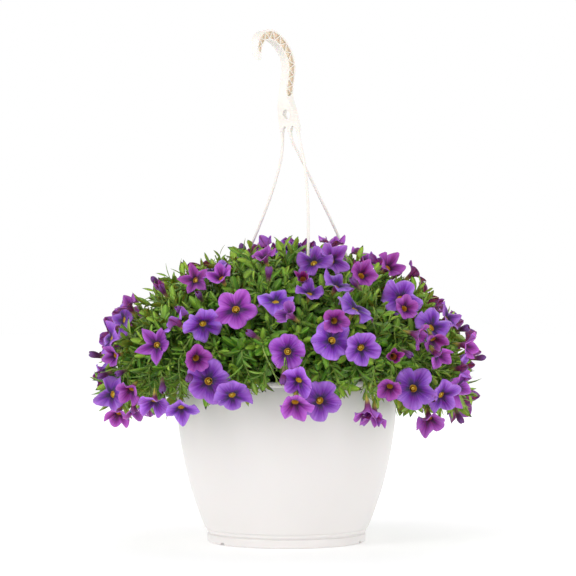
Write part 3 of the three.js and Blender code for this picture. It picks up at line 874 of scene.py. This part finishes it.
# blooms over the half of the canopy that faces away from the front
def backBlooms():
    rng = random.Random(restOfBlooms["seed"])
    blooms = []
    for i in range(restOfBlooms["count"]):
        share = (i + 0.5) / restOfBlooms["count"]
        height = restOfBlooms["lowest"] + restOfBlooms["rise"] * (1 - share ** 0.8)
        span = restOfBlooms["to"] - restOfBlooms["from"]
        azimuth = restOfBlooms["from"] + (i * 0.618034 % 1) * span
        kind = rng.choice(restOfBlooms["kinds"])
        size = rng.uniform(*restOfBlooms["sizes"][kind])
        yaw = azimuth + 90 + rng.uniform(-restOfBlooms["sway"], restOfBlooms["sway"])
        tilt = 52 * (height - 200) / 130 + rng.uniform(-22, 18)
        if kind in ("trumpet", "bud") and height < restOfBlooms["droopBelow"]:
            tilt -= restOfBlooms["droop"]
        tones = (0.0, 0.1, 0.2, 0.8) if kind in ("open", "cupped") else (0.5, 0.9, 1.0)
        tone = rng.choice(tones)
        blooms.append(bloomAt(azimuth, height, kind, size, yaw, tilt, tone, restOfBlooms["lift"]))
    return blooms


# blooms on top of the dome, clear of the hanger's arms
def crownBlooms():
    rng = random.Random(crownLook["seed"])
    arms = [v.co for name, node in frame["nodes"].items() if "arm" in name for v in node.data.vertices]
    blooms = []
    for i in range(crownLook["count"]):
        azimuth = i * goldenTurn + crownLook["firstAzimuth"]
        elevation = rng.uniform(*crownLook["elevation"])
        point, normal = canopyPoint(azimuth, elevation), canopyNormal(azimuth, elevation)
        kind = rng.choice(restOfBlooms["kinds"])
        size = rng.uniform(*restOfBlooms["sizes"][kind])
        yaw = azimuth + 90 + rng.uniform(-crownLook["sway"], crownLook["sway"])
        pitch = rng.uniform(*crownLook["pitch"])
        bloom = bloomOn(point, normal, kind, size, yaw, pitch, rng.choice((0.0, 0.1, 0.7)), crownLook["lift"])
        frontOfDome = math.sin(math.radians(azimuth)) < crownLook["frontLimit"]
        if not frontOfDome and min((arm - bloom["heart"]).length for arm in arms) > crownLook["armRoom"]:
            blooms.append(bloom)
    return blooms


blooms = [bloomAt(*bloom) for bloom in frontBlooms] + backBlooms() + crownBlooms()
bloomHearts = np.array([bloom["heart"] for bloom in blooms])
bloomFacings = np.array([bloom["facing"].normalized() for bloom in blooms])
bloomRadii = np.array([bloom["size"] * bloomKinds[bloom["kind"]]["span"] for bloom in blooms])


# how far a point is from the nearest corolla, beside or behind it; one well behind the point doesn't count
def bloomGap(point):
    away = np.array(point) - bloomHearts
    along = np.einsum("ij,ij->i", away, bloomFacings)
    aside = np.linalg.norm(away - along[:, None] * bloomFacings, axis=1)
    gap = np.maximum(aside - bloomRadii, -along - leafRoomLook["limbDepth"])
    gap[along > leafRoomLook["clearAhead"]] = 1.0
    return float(gap.min())


# leaves and stems

leafLook = {"deep": hexColour("2A500E"), "mid": hexColour("5E9E1E"), "young": hexColour("AED244"),
            "under": hexColour("8AAA62"), "roughness": 0.5, "midribWidth": 0.09, "mottle": 500}
stemLook = {"dark": hexColour("4E6E22"), "light": hexColour("8FA64A"), "roughness": 0.55, "scale": 180,
            "stops": (0.35, 0.7), "bump": (0.3, 0.0005)}


def leafMaterial():
    material, tree, shader = newMaterial("leaf", Roughness=leafLook["roughness"], IOR=1.42,
                                         Subsurface_Weight=0.12, Subsurface_Scale=0.002)
    tone = attribute(tree, "tone")
    uv = addNode(tree, "ShaderNodeSeparateXYZ", {0: addNode(tree, "ShaderNodeUVMap").outputs[0]})
    stops = [(0.0, leafLook["deep"]), (0.5, leafLook["mid"]), (1.0, leafLook["young"])]
    aside = mathNode(tree, "ABSOLUTE", mathNode(tree, "SUBTRACT", uv.outputs[0], 0.5))
    midrib = mapRange(tree, aside, 0.0, leafLook["midribWidth"], 0.55, 0.0)
    ribbed = mixColour(tree, midrib, colourRamp(tree, tone, stops), leafLook["young"])
    mottle = noise(tree, leafLook["mottle"])
    mottled = mixColour(tree, mathNode(tree, "MULTIPLY", mottle, 0.35), ribbed, leafLook["deep"])
    under = mathNode(tree, "MULTIPLY", attribute(tree, "under"), 0.45)
    tree.links.new(mixColour(tree, under, mottled, leafLook["under"]), shader.inputs["Base Color"])
    addBump(tree, shader, mottle, 0.25, 0.0004)
    return material


leafSkin = leafMaterial()
stemSkin = speckledMaterial("stem", stemLook)


leafBlade = {"stations": 5, "thickness": 0.00022, "base": 0.0004, "merge": 0.00002}


# a thin closed blade that grows along +Z, its upper face towards +X
def makeLeaf(name, length, width, fold, curl, widest):
    stations = leafBlade["stations"]
    store = MeshStore("under")
    for under in (0, 1):
        vertices = []
        uv = []
        for i in range(stations + 1):
            t = i / stations
            if t < widest:
                swell = math.sin(math.pi * min(t / widest, 1) / 2)
            else:
                swell = math.cos(math.pi / 2 * (t - widest) / (1 - widest))
            half = width / 2 * max(swell, 0.0) ** 0.8 + (leafBlade["base"] if i == 0 else 0.0)
            bend = curl * length * t * t
            for aside in (-1, 0, 1):
                lift = abs(aside) * half * fold
                x = lift - bend - (leafBlade["thickness"] if under and aside == 0 else 0)
                vertices.append(Vector((x, aside * half, length * (t - 0.25 * curl * curl * t * t))))
                uv.append((0.5 + aside * 0.5, t))
        faces = gridFaces(stations + 1, 3, closed=False)
        if not under:
            faces = [tuple(reversed(f)) for f in faces]
        store.add(vertices, faces, uv, under=float(under))
    leaf = store.build(name, [leafSkin])
    seal(leaf, leafBlade["merge"])
    return leaf


leafKinds = bpy.data.collections.new("leafKinds")
leafShapes = {       # length, width, fold, curl, and where it is widest
    "leafNarrow": (0.024, 0.0056, 0.30, 0.12, 0.45),
    "leafOblong": (0.027, 0.0078, 0.26, 0.20, 0.50),
    "leafSpoon": (0.027, 0.0092, 0.20, 0.28, 0.60),
    "leafBroad": (0.031, 0.0112, 0.16, 0.18, 0.48),
}
for leafName, leafShape in leafShapes.items():
    leafObject = makeLeaf(leafName, *leafShape)
    bpy.context.scene.collection.objects.unlink(leafObject)
    leafKinds.objects.link(leafObject)


shootInputs = {"Leaf spacing": 0.0041, "Leaf angle": 52.0, "Leaf size": 1.0, "Stem radius": 0.0008}
# tone runs from pale young leaves at the tip to darker older leaves further back; the darker inner leaves are
# partly painted shade deep in the canopy
tipGrowth = {     # distance from the tip in metres, then the values that a leaf has at the tip and beyond it
    "opening": (0.0, 0.02, 0.35, 1.0), "size": (0.0, 0.016, 0.56, 1.0), "tone": (0.0, 0.045, 0.85, 0.38),
}
leafSway = {"turn": (-0.5, 0.5), "tilt": (0.75, 1.35), "size": (0.75, 1.2), "tone": (-0.16, 0.16),
            "leastRoom": 0.3}


def newShootTree():
    tree = bpy.data.node_groups.new("leafyShoots", "GeometryNodeTree")
    socket = tree.interface.new_socket
    socket("Geometry", in_out="INPUT", socket_type="NodeSocketGeometry")
    for name, value in shootInputs.items():
        socket(name, in_out="INPUT", socket_type="NodeSocketFloat").default_value = value
    socket("Seed", in_out="INPUT", socket_type="NodeSocketInt").default_value = 1
    socket("Geometry", in_out="OUTPUT", socket_type="NodeSocketGeometry")
    return tree, addNode(tree, "NodeGroupInput").outputs


def field(tree, name):
    return addNode(tree, "GeometryNodeInputNamedAttribute", {"Name": name}, data_type="FLOAT").outputs[0]


# a number for each leaf; salt keeps the several choices apart
def randomLeaf(tree, given, index, low, high, salt):
    seed = mathNode(tree, "ADD", given["Seed"], salt)
    node = addNode(tree, "FunctionNodeRandomValue", {"ID": index, "Seed": seed}, data_type="FLOAT")
    node.inputs[2].default_value = low
    node.inputs[3].default_value = high
    return node.outputs[1]


# how a leaf is turned: along the shoot, round it by its place in the spiral, then leaning out
def leafRotation(tree, given, index, tangent):
    along = addNode(tree, "FunctionNodeAlignRotationToVector", {"Vector": tangent}, axis="Z").outputs[0]
    turn = mathNode(tree, "ADD", mathNode(tree, "MULTIPLY", index, math.radians(137.5)),
                    randomLeaf(tree, given, index, *leafSway["turn"], 1))
    opening = mapRange(tree, field(tree, "fromTip"), *tipGrowth["opening"])
    tilt = mathNode(tree, "MULTIPLY", mathNode(tree, "RADIANS", given["Leaf angle"]), opening,
                    randomLeaf(tree, given, index, *leafSway["tilt"], 2), -1.0)
    rotation = along
    for axis, angle in (((0, 0, 1), turn), ((0, 1, 0), tilt)):
        part = addNode(tree, "FunctionNodeAxisAngleToRotation", {"Axis": axis, "Angle": angle}).outputs[0]
        rotation = addNode(tree, "FunctionNodeRotateRotation", {0: rotation, 1: part},
                           rotation_space="LOCAL").outputs[0]
    return rotation


# leaves spiralling round shoots, small and upright at the tips and smaller near blooms
def leavesOn(tree, given, curves):
    index = addNode(tree, "GeometryNodeInputIndex").outputs[0]
    points = addNode(tree, "GeometryNodeCurveToPoints", {"Curve": curves, "Length": given["Leaf spacing"]},
                     mode="LENGTH").outputs
    fromTip, room = field(tree, "fromTip"), field(tree, "leafRoom")
    leafyLength = mathNode(tree, "MULTIPLY", field(tree, "leafyLength"),
                           mathNode(tree, "GREATER_THAN", room, leafSway["leastRoom"]))
    leafy = addNode(tree, "FunctionNodeCompare", {0: fromTip, 1: leafyLength}, data_type="FLOAT",
                    operation="LESS_THAN").outputs[0]
    size = mathNode(tree, "MULTIPLY", mapRange(tree, fromTip, *tipGrowth["size"]), given["Leaf size"],
                    randomLeaf(tree, given, index, *leafSway["size"], 3), room)
    kinds = addNode(tree, "GeometryNodeCollectionInfo", {"Collection": leafKinds, "Separate Children": True,
                                                         "Reset Children": True}).outputs[0]
    pick = addNode(tree, "FunctionNodeRandomValue", {"ID": index, "Seed": given["Seed"]}, data_type="INT")
    pick.inputs[4].default_value = 0
    pick.inputs[5].default_value = len(leafShapes) - 1
    leaves = addNode(tree, "GeometryNodeInstanceOnPoints", {
        "Points": points["Points"], "Selection": leafy, "Instance": kinds, "Pick Instance": True,
        "Instance Index": pick.outputs[2], "Scale": size,
        "Rotation": leafRotation(tree, given, index, points["Tangent"])}).outputs[0]
    # partly painted shade: leaves further from the tip are darker, as older leaves and as shade inside the
    # canopy
    tone = mathNode(tree, "ADD", mapRange(tree, fromTip, *tipGrowth["tone"]),
                    randomLeaf(tree, given, index, *leafSway["tone"], 4), field(tree, "shootTone"))
    toned = addNode(tree, "GeometryNodeStoreNamedAttribute",
                    {"Geometry": leaves, "Name": "tone", "Value": tone},
                    data_type="FLOAT", domain="INSTANCE").outputs[0]
    return addNode(tree, "GeometryNodeRealizeInstances", {"Geometry": toned}).outputs[0]


def leafyShootTree():
    tree, given = newShootTree()
    curves = addNode(tree, "GeometryNodeMeshToCurve", {"Mesh": given["Geometry"]}).outputs["Curve"]
    ring = addNode(tree, "GeometryNodeCurvePrimitiveCircle",
                   {"Resolution": 5, "Radius": given["Stem radius"]}, mode="RADIUS").outputs[0]
    stems = addNode(tree, "GeometryNodeCurveToMesh", {"Curve": curves, "Profile Curve": ring,
                                                      "Fill Caps": True}).outputs[0]
    joined = addNode(tree, "GeometryNodeJoinGeometry").inputs["Geometry"]
    for shape, skin in ((stems, stemSkin), (leavesOn(tree, given, curves), leafSkin)):
        dressed = addNode(tree, "GeometryNodeSetMaterial", {"Geometry": shape, "Material": skin}).outputs[0]
        tree.links.new(dressed, joined)
    addNode(tree, "NodeGroupOutput", {"Geometry": joined.node.outputs[0]})
    return tree


shootTree = leafyShootTree()


# lines is a list of (points, leafy length, tone); the node tree dresses them with leaves
def growFromLines(name, lines, inputs):
    vertices = []
    edges = []
    values = {"fromTip": [], "leafyLength": [], "shootTone": [], "leafRoom": []}
    for line, leafyLength, tone in lines:
        start = len(vertices)
        vertices += line
        edges += [(start + i, start + i + 1) for i in range(len(line) - 1)]
        left = [0.0]
        for i in range(len(line) - 1, 0, -1):
            left.append(left[-1] + (line[i] - line[i - 1]).length)
        values["fromTip"] += reversed(left)
        values["leafyLength"] += [leafyLength] * len(line)
        values["shootTone"] += [tone] * len(line)
        values["leafRoom"] += [min(max(bloomGap(p) / leafRoomLook["fullLeaf"], 0.0), 1.0) for p in line]
    mesh = bpy.data.meshes.new(name)
    mesh.from_pydata([tuple(v) for v in vertices], edges, [])
    for key, store in values.items():
        mesh.attributes.new(key, "FLOAT", "POINT").data.foreach_set("value", store)
    piece = bpy.data.objects.new(name, mesh)
    bpy.context.scene.collection.objects.link(piece)
    modifier = piece.modifiers.new("leafyShoots", "NODES")
    modifier.node_group = shootTree
    for item in shootTree.interface.items_tree:
        if item.in_out == "INPUT" and item.name in inputs:
            modifier[item.identifier] = inputs[item.name]
    applyModifiers(piece)
    piece.data.polygons.foreach_set("use_smooth", [True] * len(piece.data.polygons))
    return piece


canopyShape = {
    "shoots": 520, "lowest": -22, "hem": 0.150, "frontLift": 0.030, "leafyLength": (0.055, 0.085),
    "shortest": -0.024, "furthest": {"side": -0.008, "top": 0.006},
    "outward": 0.75, "droop": (-0.1, 0.75), "lift": (0.0, 0.35), "stray": (0.4, 0.4, 0.2),
    "seed": 11, "crownRadius": 0.016,
    "saddleRadius": 0.136, "saddleHeight": (0.203, 0.225), "trailsBelow": 12,
}


def plantCrowns():
    crowns = []
    for name in sorted(frame["nodes"]):
        if name.startswith("root_ball"):
            low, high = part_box(name)
            crowns.append(Vector(((low.x + high.x) / 2, (low.y + high.y) / 2, high.z)))
    return crowns


crowns = plantCrowns()


# the hem's height, which is lifted at the front
def lowestShoot(azimuth):
    frontness = max(0.0, -math.sin(math.radians(azimuth))) ** 3
    return canopyShape["hem"] + canopyShape["frontLift"] * frontness


# one shoot from the nearest plant, up through the dome, over the rim if it trails, and out to its tip
def shootLine(azimuth, elevation, rng, overshoot):
    tip = canopyPoint(azimuth, elevation)
    normal = canopyNormal(azimuth, elevation)
    down = Vector((0, 0, -1)) - normal * -normal.z
    crown = min(crowns, key=lambda c: (Vector((c.x, c.y, 0)) - Vector((tip.x, tip.y, 0))).length)
    start = crown + onRing(rng.uniform(0, canopyShape["crownRadius"]), rng.uniform(0, 360), 0.0)
    flow = normal * canopyShape["outward"] + down * rng.uniform(*canopyShape["droop"])
    flow += up * rng.uniform(*canopyShape["lift"])
    flow += Vector([rng.uniform(-most, most) for most in canopyShape["stray"]])
    flow.normalize()
    end = tip + normal * overshoot
    end.z = max(end.z, lowestShoot(azimuth) + rng.uniform(0, 0.012))
    radial = Vector((tip.x, tip.y, 0)).normalized()
    if elevation < canopyShape["trailsBelow"]:
        saddle = radial * canopyShape["saddleRadius"] + up * rng.uniform(*canopyShape["saddleHeight"])
        points = [start, start.lerp(saddle, 0.4) + up * 0.03, saddle, end - flow * 0.03 + up * 0.012, end]
    else:
        points = [start, start.lerp(end, 0.35) + up * 0.03, end - flow * 0.05 - radial * 0.01, end]
    return smoothLine(points, 4)


def makeCanopy():
    shape = canopyShape
    side, top = shape["furthest"]["side"], shape["furthest"]["top"]
    rng = random.Random(shape["seed"])
    lines = {}
    lowest = math.sin(math.radians(shape["lowest"]))
    for i in range(shape["shoots"]):
        rise = 1 - (i + 0.5) / shape["shoots"] * (1 - lowest)
        elevation = math.degrees(math.asin(rise)) + rng.uniform(-3, 3)
        azimuth = i * goldenTurn + rng.uniform(-4, 4)
        elevation = max(min(elevation, 88), shape["lowest"])
        furthest = side + max(rise, 0) * (top - side)
        line = shootLine(azimuth, elevation, rng, rng.uniform(shape["shortest"], furthest))
        while len(line) > 4 and bloomGap(line[-1]) < leafRoomLook["stemStop"]:
            line.pop()
        shoot = (line, rng.uniform(*shape["leafyLength"]), rng.uniform(-0.12, 0.12))
        lines.setdefault(canopyOwner(line[-1]), []).append(shoot)
    for number, name in enumerate(sorted(foliageCentres)):
        piece = growFromLines("leaves_" + name, lines[name], {**shootInputs, "Seed": number})
        place(piece, "leaves", name)
        print(name, len(lines[name]), "shoots", len(piece.data.polygons), "faces")


foliageCentres = {}
for name in frame["nodes"]:
    if "foliage" in name:
        low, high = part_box(name)
        foliageCentres[name] = (low + high) / 2


# the CAD foliage block that a shoot's tip belongs to
def canopyOwner(point):
    if point.xy.length < 0.066:
        return min((n for n in foliageCentres if n.startswith("crown")),
                   key=lambda n: (foliageCentres[n].xy - point.xy).length)
    return max((n for n in foliageCentres if n.startswith("trailing")),
               key=lambda n: foliageCentres[n].xy.normalized().dot(point.xy.normalized()))


makeCanopy()
for leafObject in list(leafKinds.objects):
    bpy.data.objects.remove(leafObject)
bpy.data.collections.remove(leafKinds)
print("leaves made")


stemShape = {"seed": 70, "stems": 16, "spread": (0.02, 0.06), "rise": (0.035, 0.06), "thick": 0.0022,
             "taper": 0.0012}


# the woody lower stems of each plant, thick at the crown
def makeStems():
    shape = stemShape
    for number, crown in enumerate(crowns):
        rng = random.Random(shape["seed"] + number)
        store = MeshStore()
        for _ in range(shape["stems"]):
            azimuth = rng.uniform(0, 360)
            spread = rng.uniform(*shape["spread"])
            outward = onRing(spread, azimuth, rng.uniform(*shape["rise"]))
            start = crown + onRing(rng.uniform(0.001, 0.006), azimuth, -0.004)
            line = smoothLine([start, crown + outward * 0.5 + up * 0.008, crown + outward], 5)
            last = len(line) - 1
            tube(store, line, [shape["thick"] - shape["taper"] * k / last for k in range(len(line))], sides=8)
        stems = store.build("stems_" + str(number + 1), [stemSkin])
        place(stems, "stems", "stem_cluster_" + str(number + 1))


makeStems()
print("stems made")

# flowers

petalLook = {
    "violet": {"heart": hexColour("220748"), "mid": hexColour("661EA2"), "edge": hexColour("AE76E2")},
    "magenta": {"heart": hexColour("2E0540"), "mid": hexColour("801688"), "edge": hexColour("C058C8")},
    "throat": hexColour("DDAE22"), "tubeBase": hexColour("B5A83C"), "tube": hexColour("6A2050"),
    "back": hexColour("94489E"), "stripe": hexColour("5E1C64"), "dusk": hexColour("460C48"),
    "roughness": 0.55, "sheen": 0.08, "raysRound": 46.0, "raysAlong": 1.3, "rayOffset": 37.0,
    "rayShift": 0.42, "bump": (0.35, 0.0006),
}
calyxLook = {"dark": hexColour("4C7424"), "light": hexColour("96AE45"), "roughness": 0.6, "scale": 300,
             "stops": (0.35, 0.68), "bump": (0.3, 0.0003)}
antherLook = {"dark": hexColour("B98A1E"), "light": hexColour("E9CF55"), "roughness": 0.7, "scale": 900,
              "stops": (0.35, 0.68), "bump": (0.3, 0.0003)}


def petalMaterial():
    material, tree, shader = newMaterial("petal", Roughness=petalLook["roughness"], IOR=1.4,
                                         Sheen_Weight=petalLook["sheen"], Sheen_Roughness=0.4,
                                         Subsurface_Weight=0.15, Subsurface_Scale=0.003)
    uv = addNode(tree, "ShaderNodeSeparateXYZ", {0: addNode(tree, "ShaderNodeUVMap").outputs[0]})
    turn, along = uv.outputs[0], uv.outputs[1]
    tone, side, shade = attribute(tree, "tone"), attribute(tree, "side"), attribute(tree, "shade")
    lobeWave = mathNode(tree, "COSINE", mathNode(tree, "MULTIPLY", turn, 10 * math.pi))
    ray = addNode(tree, "ShaderNodeCombineXYZ", {
        0: mathNode(tree, "MULTIPLY", turn, petalLook["raysRound"]),
        1: mathNode(tree, "MULTIPLY", shade, petalLook["rayOffset"]),
        2: mathNode(tree, "MULTIPLY", along, petalLook["raysAlong"])}).outputs[0]
    veins = addNode(tree, "ShaderNodeTexNoise", {"Vector": ray, "Scale": 1.0, "Detail": 3}).outputs["Fac"]
    shift = mathNode(tree, "MULTIPLY", mathNode(tree, "SUBTRACT", veins, 0.5), petalLook["rayShift"])
    shifted = mathNode(tree, "ADD", along, shift, mathNode(tree, "MULTIPLY", lobeWave, -0.05))

    def frontColour(look):
        return colourRamp(tree, shifted, [(0.45, look["heart"]), (0.66, look["mid"]), (1.0, look["edge"])])

    limb = mixColour(tree, tone, frontColour(petalLook["violet"]), frontColour(petalLook["magenta"]))
    throatEdge = mathNode(tree, "ADD", along, mathNode(tree, "MULTIPLY", shift, 0.18))
    front = mixColour(tree, mapRange(tree, throatEdge, 0.36, 0.32), limb, petalLook["throat"])
    plainBack = colourRamp(tree, along, [(0.0, petalLook["tubeBase"]), (0.14, petalLook["tubeBase"]),
                                         (0.26, petalLook["tube"]), (0.45, petalLook["back"]),
                                         (1.0, petalLook["violet"]["edge"])])
    stripes = mapRange(tree, mathNode(tree, "ADD", lobeWave, shift), 0.72, 1.0, 0.0, 0.75)
    back = mixColour(tree, stripes, plainBack, petalLook["stripe"])
    dusky = mixColour(tree, attribute(tree, "dusk"), mixColour(tree, side, front, back), petalLook["dusk"])
    value = mathNode(tree, "ADD", mapRange(tree, shade, 0.0, 1.0, -0.20, 0.14), 1.0)
    varied = addNode(tree, "ShaderNodeHueSaturation", {"Color": dusky, "Value": value}).outputs[0]
    tree.links.new(varied, shader.inputs["Base Color"])
    addBump(tree, shader, veins, *petalLook["bump"])
    return material


flowerSkins = [petalMaterial(), speckledMaterial("calyx", calyxLook), speckledMaterial("anther", antherLook)]

corollaGrid = {"tubeRows": 4, "limbRows": 8, "perLobe": 8, "thickness": 0.00028, "edgeShare": 0.45,
               "tubeRadius": 0.0013, "tubeFlare": (3, 9), "limbStart": 14, "opensWithin": 0.35,
               "ruffleShare": 0.30, "leans": (-24, 18), "swells": (0.86, 1.08)}


def facingMatrix(base, axis, roll):
    axis = axis.normalized()
    aside = axis.orthogonal().normalized()
    aside = Matrix.Rotation(roll, 3, axis) @ aside
    across = axis.cross(aside)
    turned = Matrix((aside, across, axis)).transposed().to_4x4()
    turned.translation = base
    return turned


# the front surface of one corolla as rows of points round its axis, from tube base to edge
def corollaPoints(kind, size, rng):
    look, grid = bloomKinds[kind], corollaGrid
    columns = 5 * grid["perLobe"]
    tubeLength, limbLength = look["tube"] * size, look["reach"] * size
    waves = [(rng.choice((4, 6, 7, 9)), rng.uniform(0, 6.28), rng.uniform(0.4, 1.0)) for _ in range(3)]
    leans = [rng.uniform(*grid["leans"]) for _ in range(5)]
    swells = [rng.uniform(*grid["swells"]) for _ in range(5)]
    rows = [[] for _ in range(grid["tubeRows"] + grid["limbRows"] + 1)]
    for c in range(columns):
        turn = 2 * math.pi * c / columns
        lobe = c / grid["perLobe"]
        toEdge = abs(2 * ((lobe + 0.5) % 1) - 1)      # 0 at a lobe's middle, 1 where two lobes meet
        length = limbLength * (1 - look["notch"] * toEdge ** look["point"])
        number = int(lobe + 0.5) % 5
        length *= swells[number] * (1 - toEdge) + toEdge
        lean = leans[number] * (1 - toEdge)
        radius, height = grid["tubeRadius"], 0.0
        rows[0].append((radius, height, turn))
        steps = grid["tubeRows"]
        for i in range(steps):
            widen = math.radians(grid["tubeFlare"][0] + grid["tubeFlare"][1] * (i + 1) / steps)
            radius += tubeLength / steps * math.sin(widen)
            height += tubeLength / steps * math.cos(widen)
            rows[i + 1].append((radius, height, turn))
        steps = grid["limbRows"]
        ruffle = sum(a * math.sin(n * turn + p) for n, p, a in waves)
        ruffle = ruffle * look["ruffle"] * size * grid["ruffleShare"]
        for i in range(steps):
            t = (i + 1) / steps
            opening = min(t / grid["opensWithin"], 1)
            opening = opening * opening * (3 - 2 * opening)
            spread = grid["limbStart"] + (look["spread"] - grid["limbStart"] + lean) * opening
            angle = math.radians(spread + look["curl"] * t * t)
            radius = max(radius + length / steps * math.sin(angle), 0.0003)
            height += length / steps * math.cos(angle)
            fold = look["fold"] * size * toEdge ** 1.6 * t ** 1.5
            rows[grid["tubeRows"] + 1 + i].append((radius, height - fold + ruffle * t ** 3, turn))
    return np.array([[(r * math.cos(a), r * math.sin(a), z) for r, z, a in row] for row in rows])


def addCorolla(store, pose, kind, size, tone, shade, rng):
    front = corollaPoints(kind, size, rng)
    rowCount, columns = front.shape[:2]
    alongRows = np.gradient(front, axis=0)
    roundRows = np.roll(front, -1, axis=1) - np.roll(front, 1, axis=1)
    normals = np.cross(roundRows, alongRows)
    normals /= np.linalg.norm(normals, axis=2, keepdims=True) + 1e-12
    thin = np.linspace(1.0, corollaGrid["edgeShare"], rowCount)[:, None, None]
    back = front + normals * corollaGrid["thickness"] * thin
    turned = np.array(pose.to_3x3())
    origin = np.array(pose.translation)
    vertices = [Vector(turned @ p + origin) for p in np.concatenate((front, back)).reshape(-1, 3)]
    uv = [(c / columns, r / (rowCount - 1))
          for _ in range(2) for r in range(rowCount) for c in range(columns)]
    side = [0.0] * (rowCount * columns) + [1.0] * (rowCount * columns)
    offset = rowCount * columns
    faces = [tuple(reversed(face)) for face in gridFaces(rowCount, columns)]
    faces += [tuple(i + offset for i in reversed(face)) for face in faces]
    edge = (rowCount - 1) * columns
    for c in range(columns):
        d = (c + 1) % columns
        faces.append((edge + d, edge + c, edge + c + offset, edge + d + offset))
        faces.append((c, d, d + offset, c + offset))
    store.add(vertices, faces, uv, 0, side=side, tone=tone, shade=shade, dusk=bloomKinds[kind]["dusk"])


# the short cluster of anthers that shows in an open throat
def addAnthers(store, pose, kind, size, rng):
    height = (bloomKinds[kind]["tube"] - 0.03) * size
    for i in range(5):
        turn = 2 * math.pi * i / 5 + rng.uniform(-0.3, 0.3)
        middle = height + rng.uniform(-0.0005, 0.0005)
        centre = Vector((0.0012 * math.cos(turn), 0.0012 * math.sin(turn), middle))
        line = [pose @ (centre + up * z) for z in (-0.0007, -0.0005, 0.0004, 0.0007)]
        tube(store, line, [0.0003, 0.0009, 0.0009, 0.0003], sides=6, material=2)


# five narrow sepals round the tube, and the stalk back into the leaves
def addStalk(store, pose, size, foot, rng):
    reach = min(0.2 * size, 0.008)
    for i in range(5):
        turn = 2 * math.pi * i / 5 + rng.uniform(-0.2, 0.2)
        flare = rng.uniform(0.5, 0.9)
        line = []
        for t in (0, 0.35, 0.7, 1):
            out = corollaGrid["tubeRadius"] + 0.0005 + 0.0026 * flare * t * t
            line.append(pose @ Vector((out * math.cos(turn), out * math.sin(turn), -0.001 + reach * t)))
        tube(store, line, [0.0006, 0.0009, 0.0007, 0.0002], sides=5, material=1, squash=0.5)
    stalk = [pose @ Vector((0, 0, z)) for z in (0.0006, -0.0012, -0.010)]
    line = smoothLine([*stalk, foot], 4)
    tube(store, line, [0.0015 - 0.0009 * min(i / 6, 1) for i in range(len(line))], sides=6, material=1)


def addBloom(store, bloom, rng):
    pose = facingMatrix(bloom["base"], bloom["facing"], rng.uniform(0, 6.28))
    kind, size = bloom["kind"], bloom["size"]
    addCorolla(store, pose, kind, size, bloom["tone"], rng.random(), rng)
    if kind in ("open", "cupped", "star", "pointed"):
        addAnthers(store, pose, kind, size, rng)
    addStalk(store, pose, size, bloom["foot"], rng)


# blooms as one piece, which stands for these CAD nodes
def bloomPiece(name, members, rng, *nodes):
    store = MeshStore("side", "tone", "shade", "dusk")
    for bloom in members:
        addBloom(store, bloom, rng)
    place(store.build(name, flowerSkins), "petals", *nodes)


def cadFlowerPlaces():
    places = {}
    for name, node in frame["nodes"].items():
        if name.startswith("flower"):
            places[name] = sum((v.co for v in node.data.vertices), Vector()) / len(node.data.vertices)
    return places


def makeFlowers():
    rng = random.Random(41)
    for name, heart in sorted(cadFlowerPlaces().items()):      # the largest blooms, one piece each
        free = [b for b in blooms if b["kind"] != "bud" and "owner" not in b]
        nearest = min(free, key=lambda b: (b["heart"] - heart).length - b["size"] * 0.4)
        nearest["owner"] = name
        bloomPiece("bloom_" + name, [nearest], rng, name)
    groups = {}
    for bloom in blooms:
        if "owner" not in bloom:
            sector = int((math.degrees(math.atan2(bloom["heart"].y, bloom["heart"].x)) % 360) // 60)
            part = "buds" if bloom["kind"] == "bud" else "blooms"
            groups.setdefault(part + "_" + str(sector + 1), []).append(bloom)
    for name, members in sorted(groups.items()):
        bloomPiece(name, members, rng)
    print(len(blooms), "blooms made")


makeFlowers()
print("flowers made")

# floor

floorLook = {"radius": 12, "glow": (0.24, 0.34), "glowFrom": 0.6, "glowTo": 4.0, "sides": 96}
floorMaterial, floorTree, floorShader = newMaterial(
    "paleFloor", Base_Color=(0.93, 0.93, 0.93, 1), Roughness=0.9, Specular_IOR_Level=0.2,
    Emission_Color=(1, 1, 1, 1))
floorPlace = addNode(floorTree, "ShaderNodeTexCoord").outputs["Object"]
floorReach = addNode(floorTree, "ShaderNodeVectorMath", {0: floorPlace}, operation="LENGTH").outputs["Value"]
floorGlow = mapRange(floorTree, floorReach, floorLook["glowFrom"], floorLook["glowTo"], *floorLook["glow"])
floorTree.links.new(floorGlow, floorShader.inputs["Emission Strength"])
floorRim = [tuple(onRing(floorLook["radius"], 360 * i / floorLook["sides"], -0.0002))
            for i in range(floorLook["sides"])]
floor = newPiece("floor", floorRim, [tuple(range(floorLook["sides"]))], [floorMaterial])
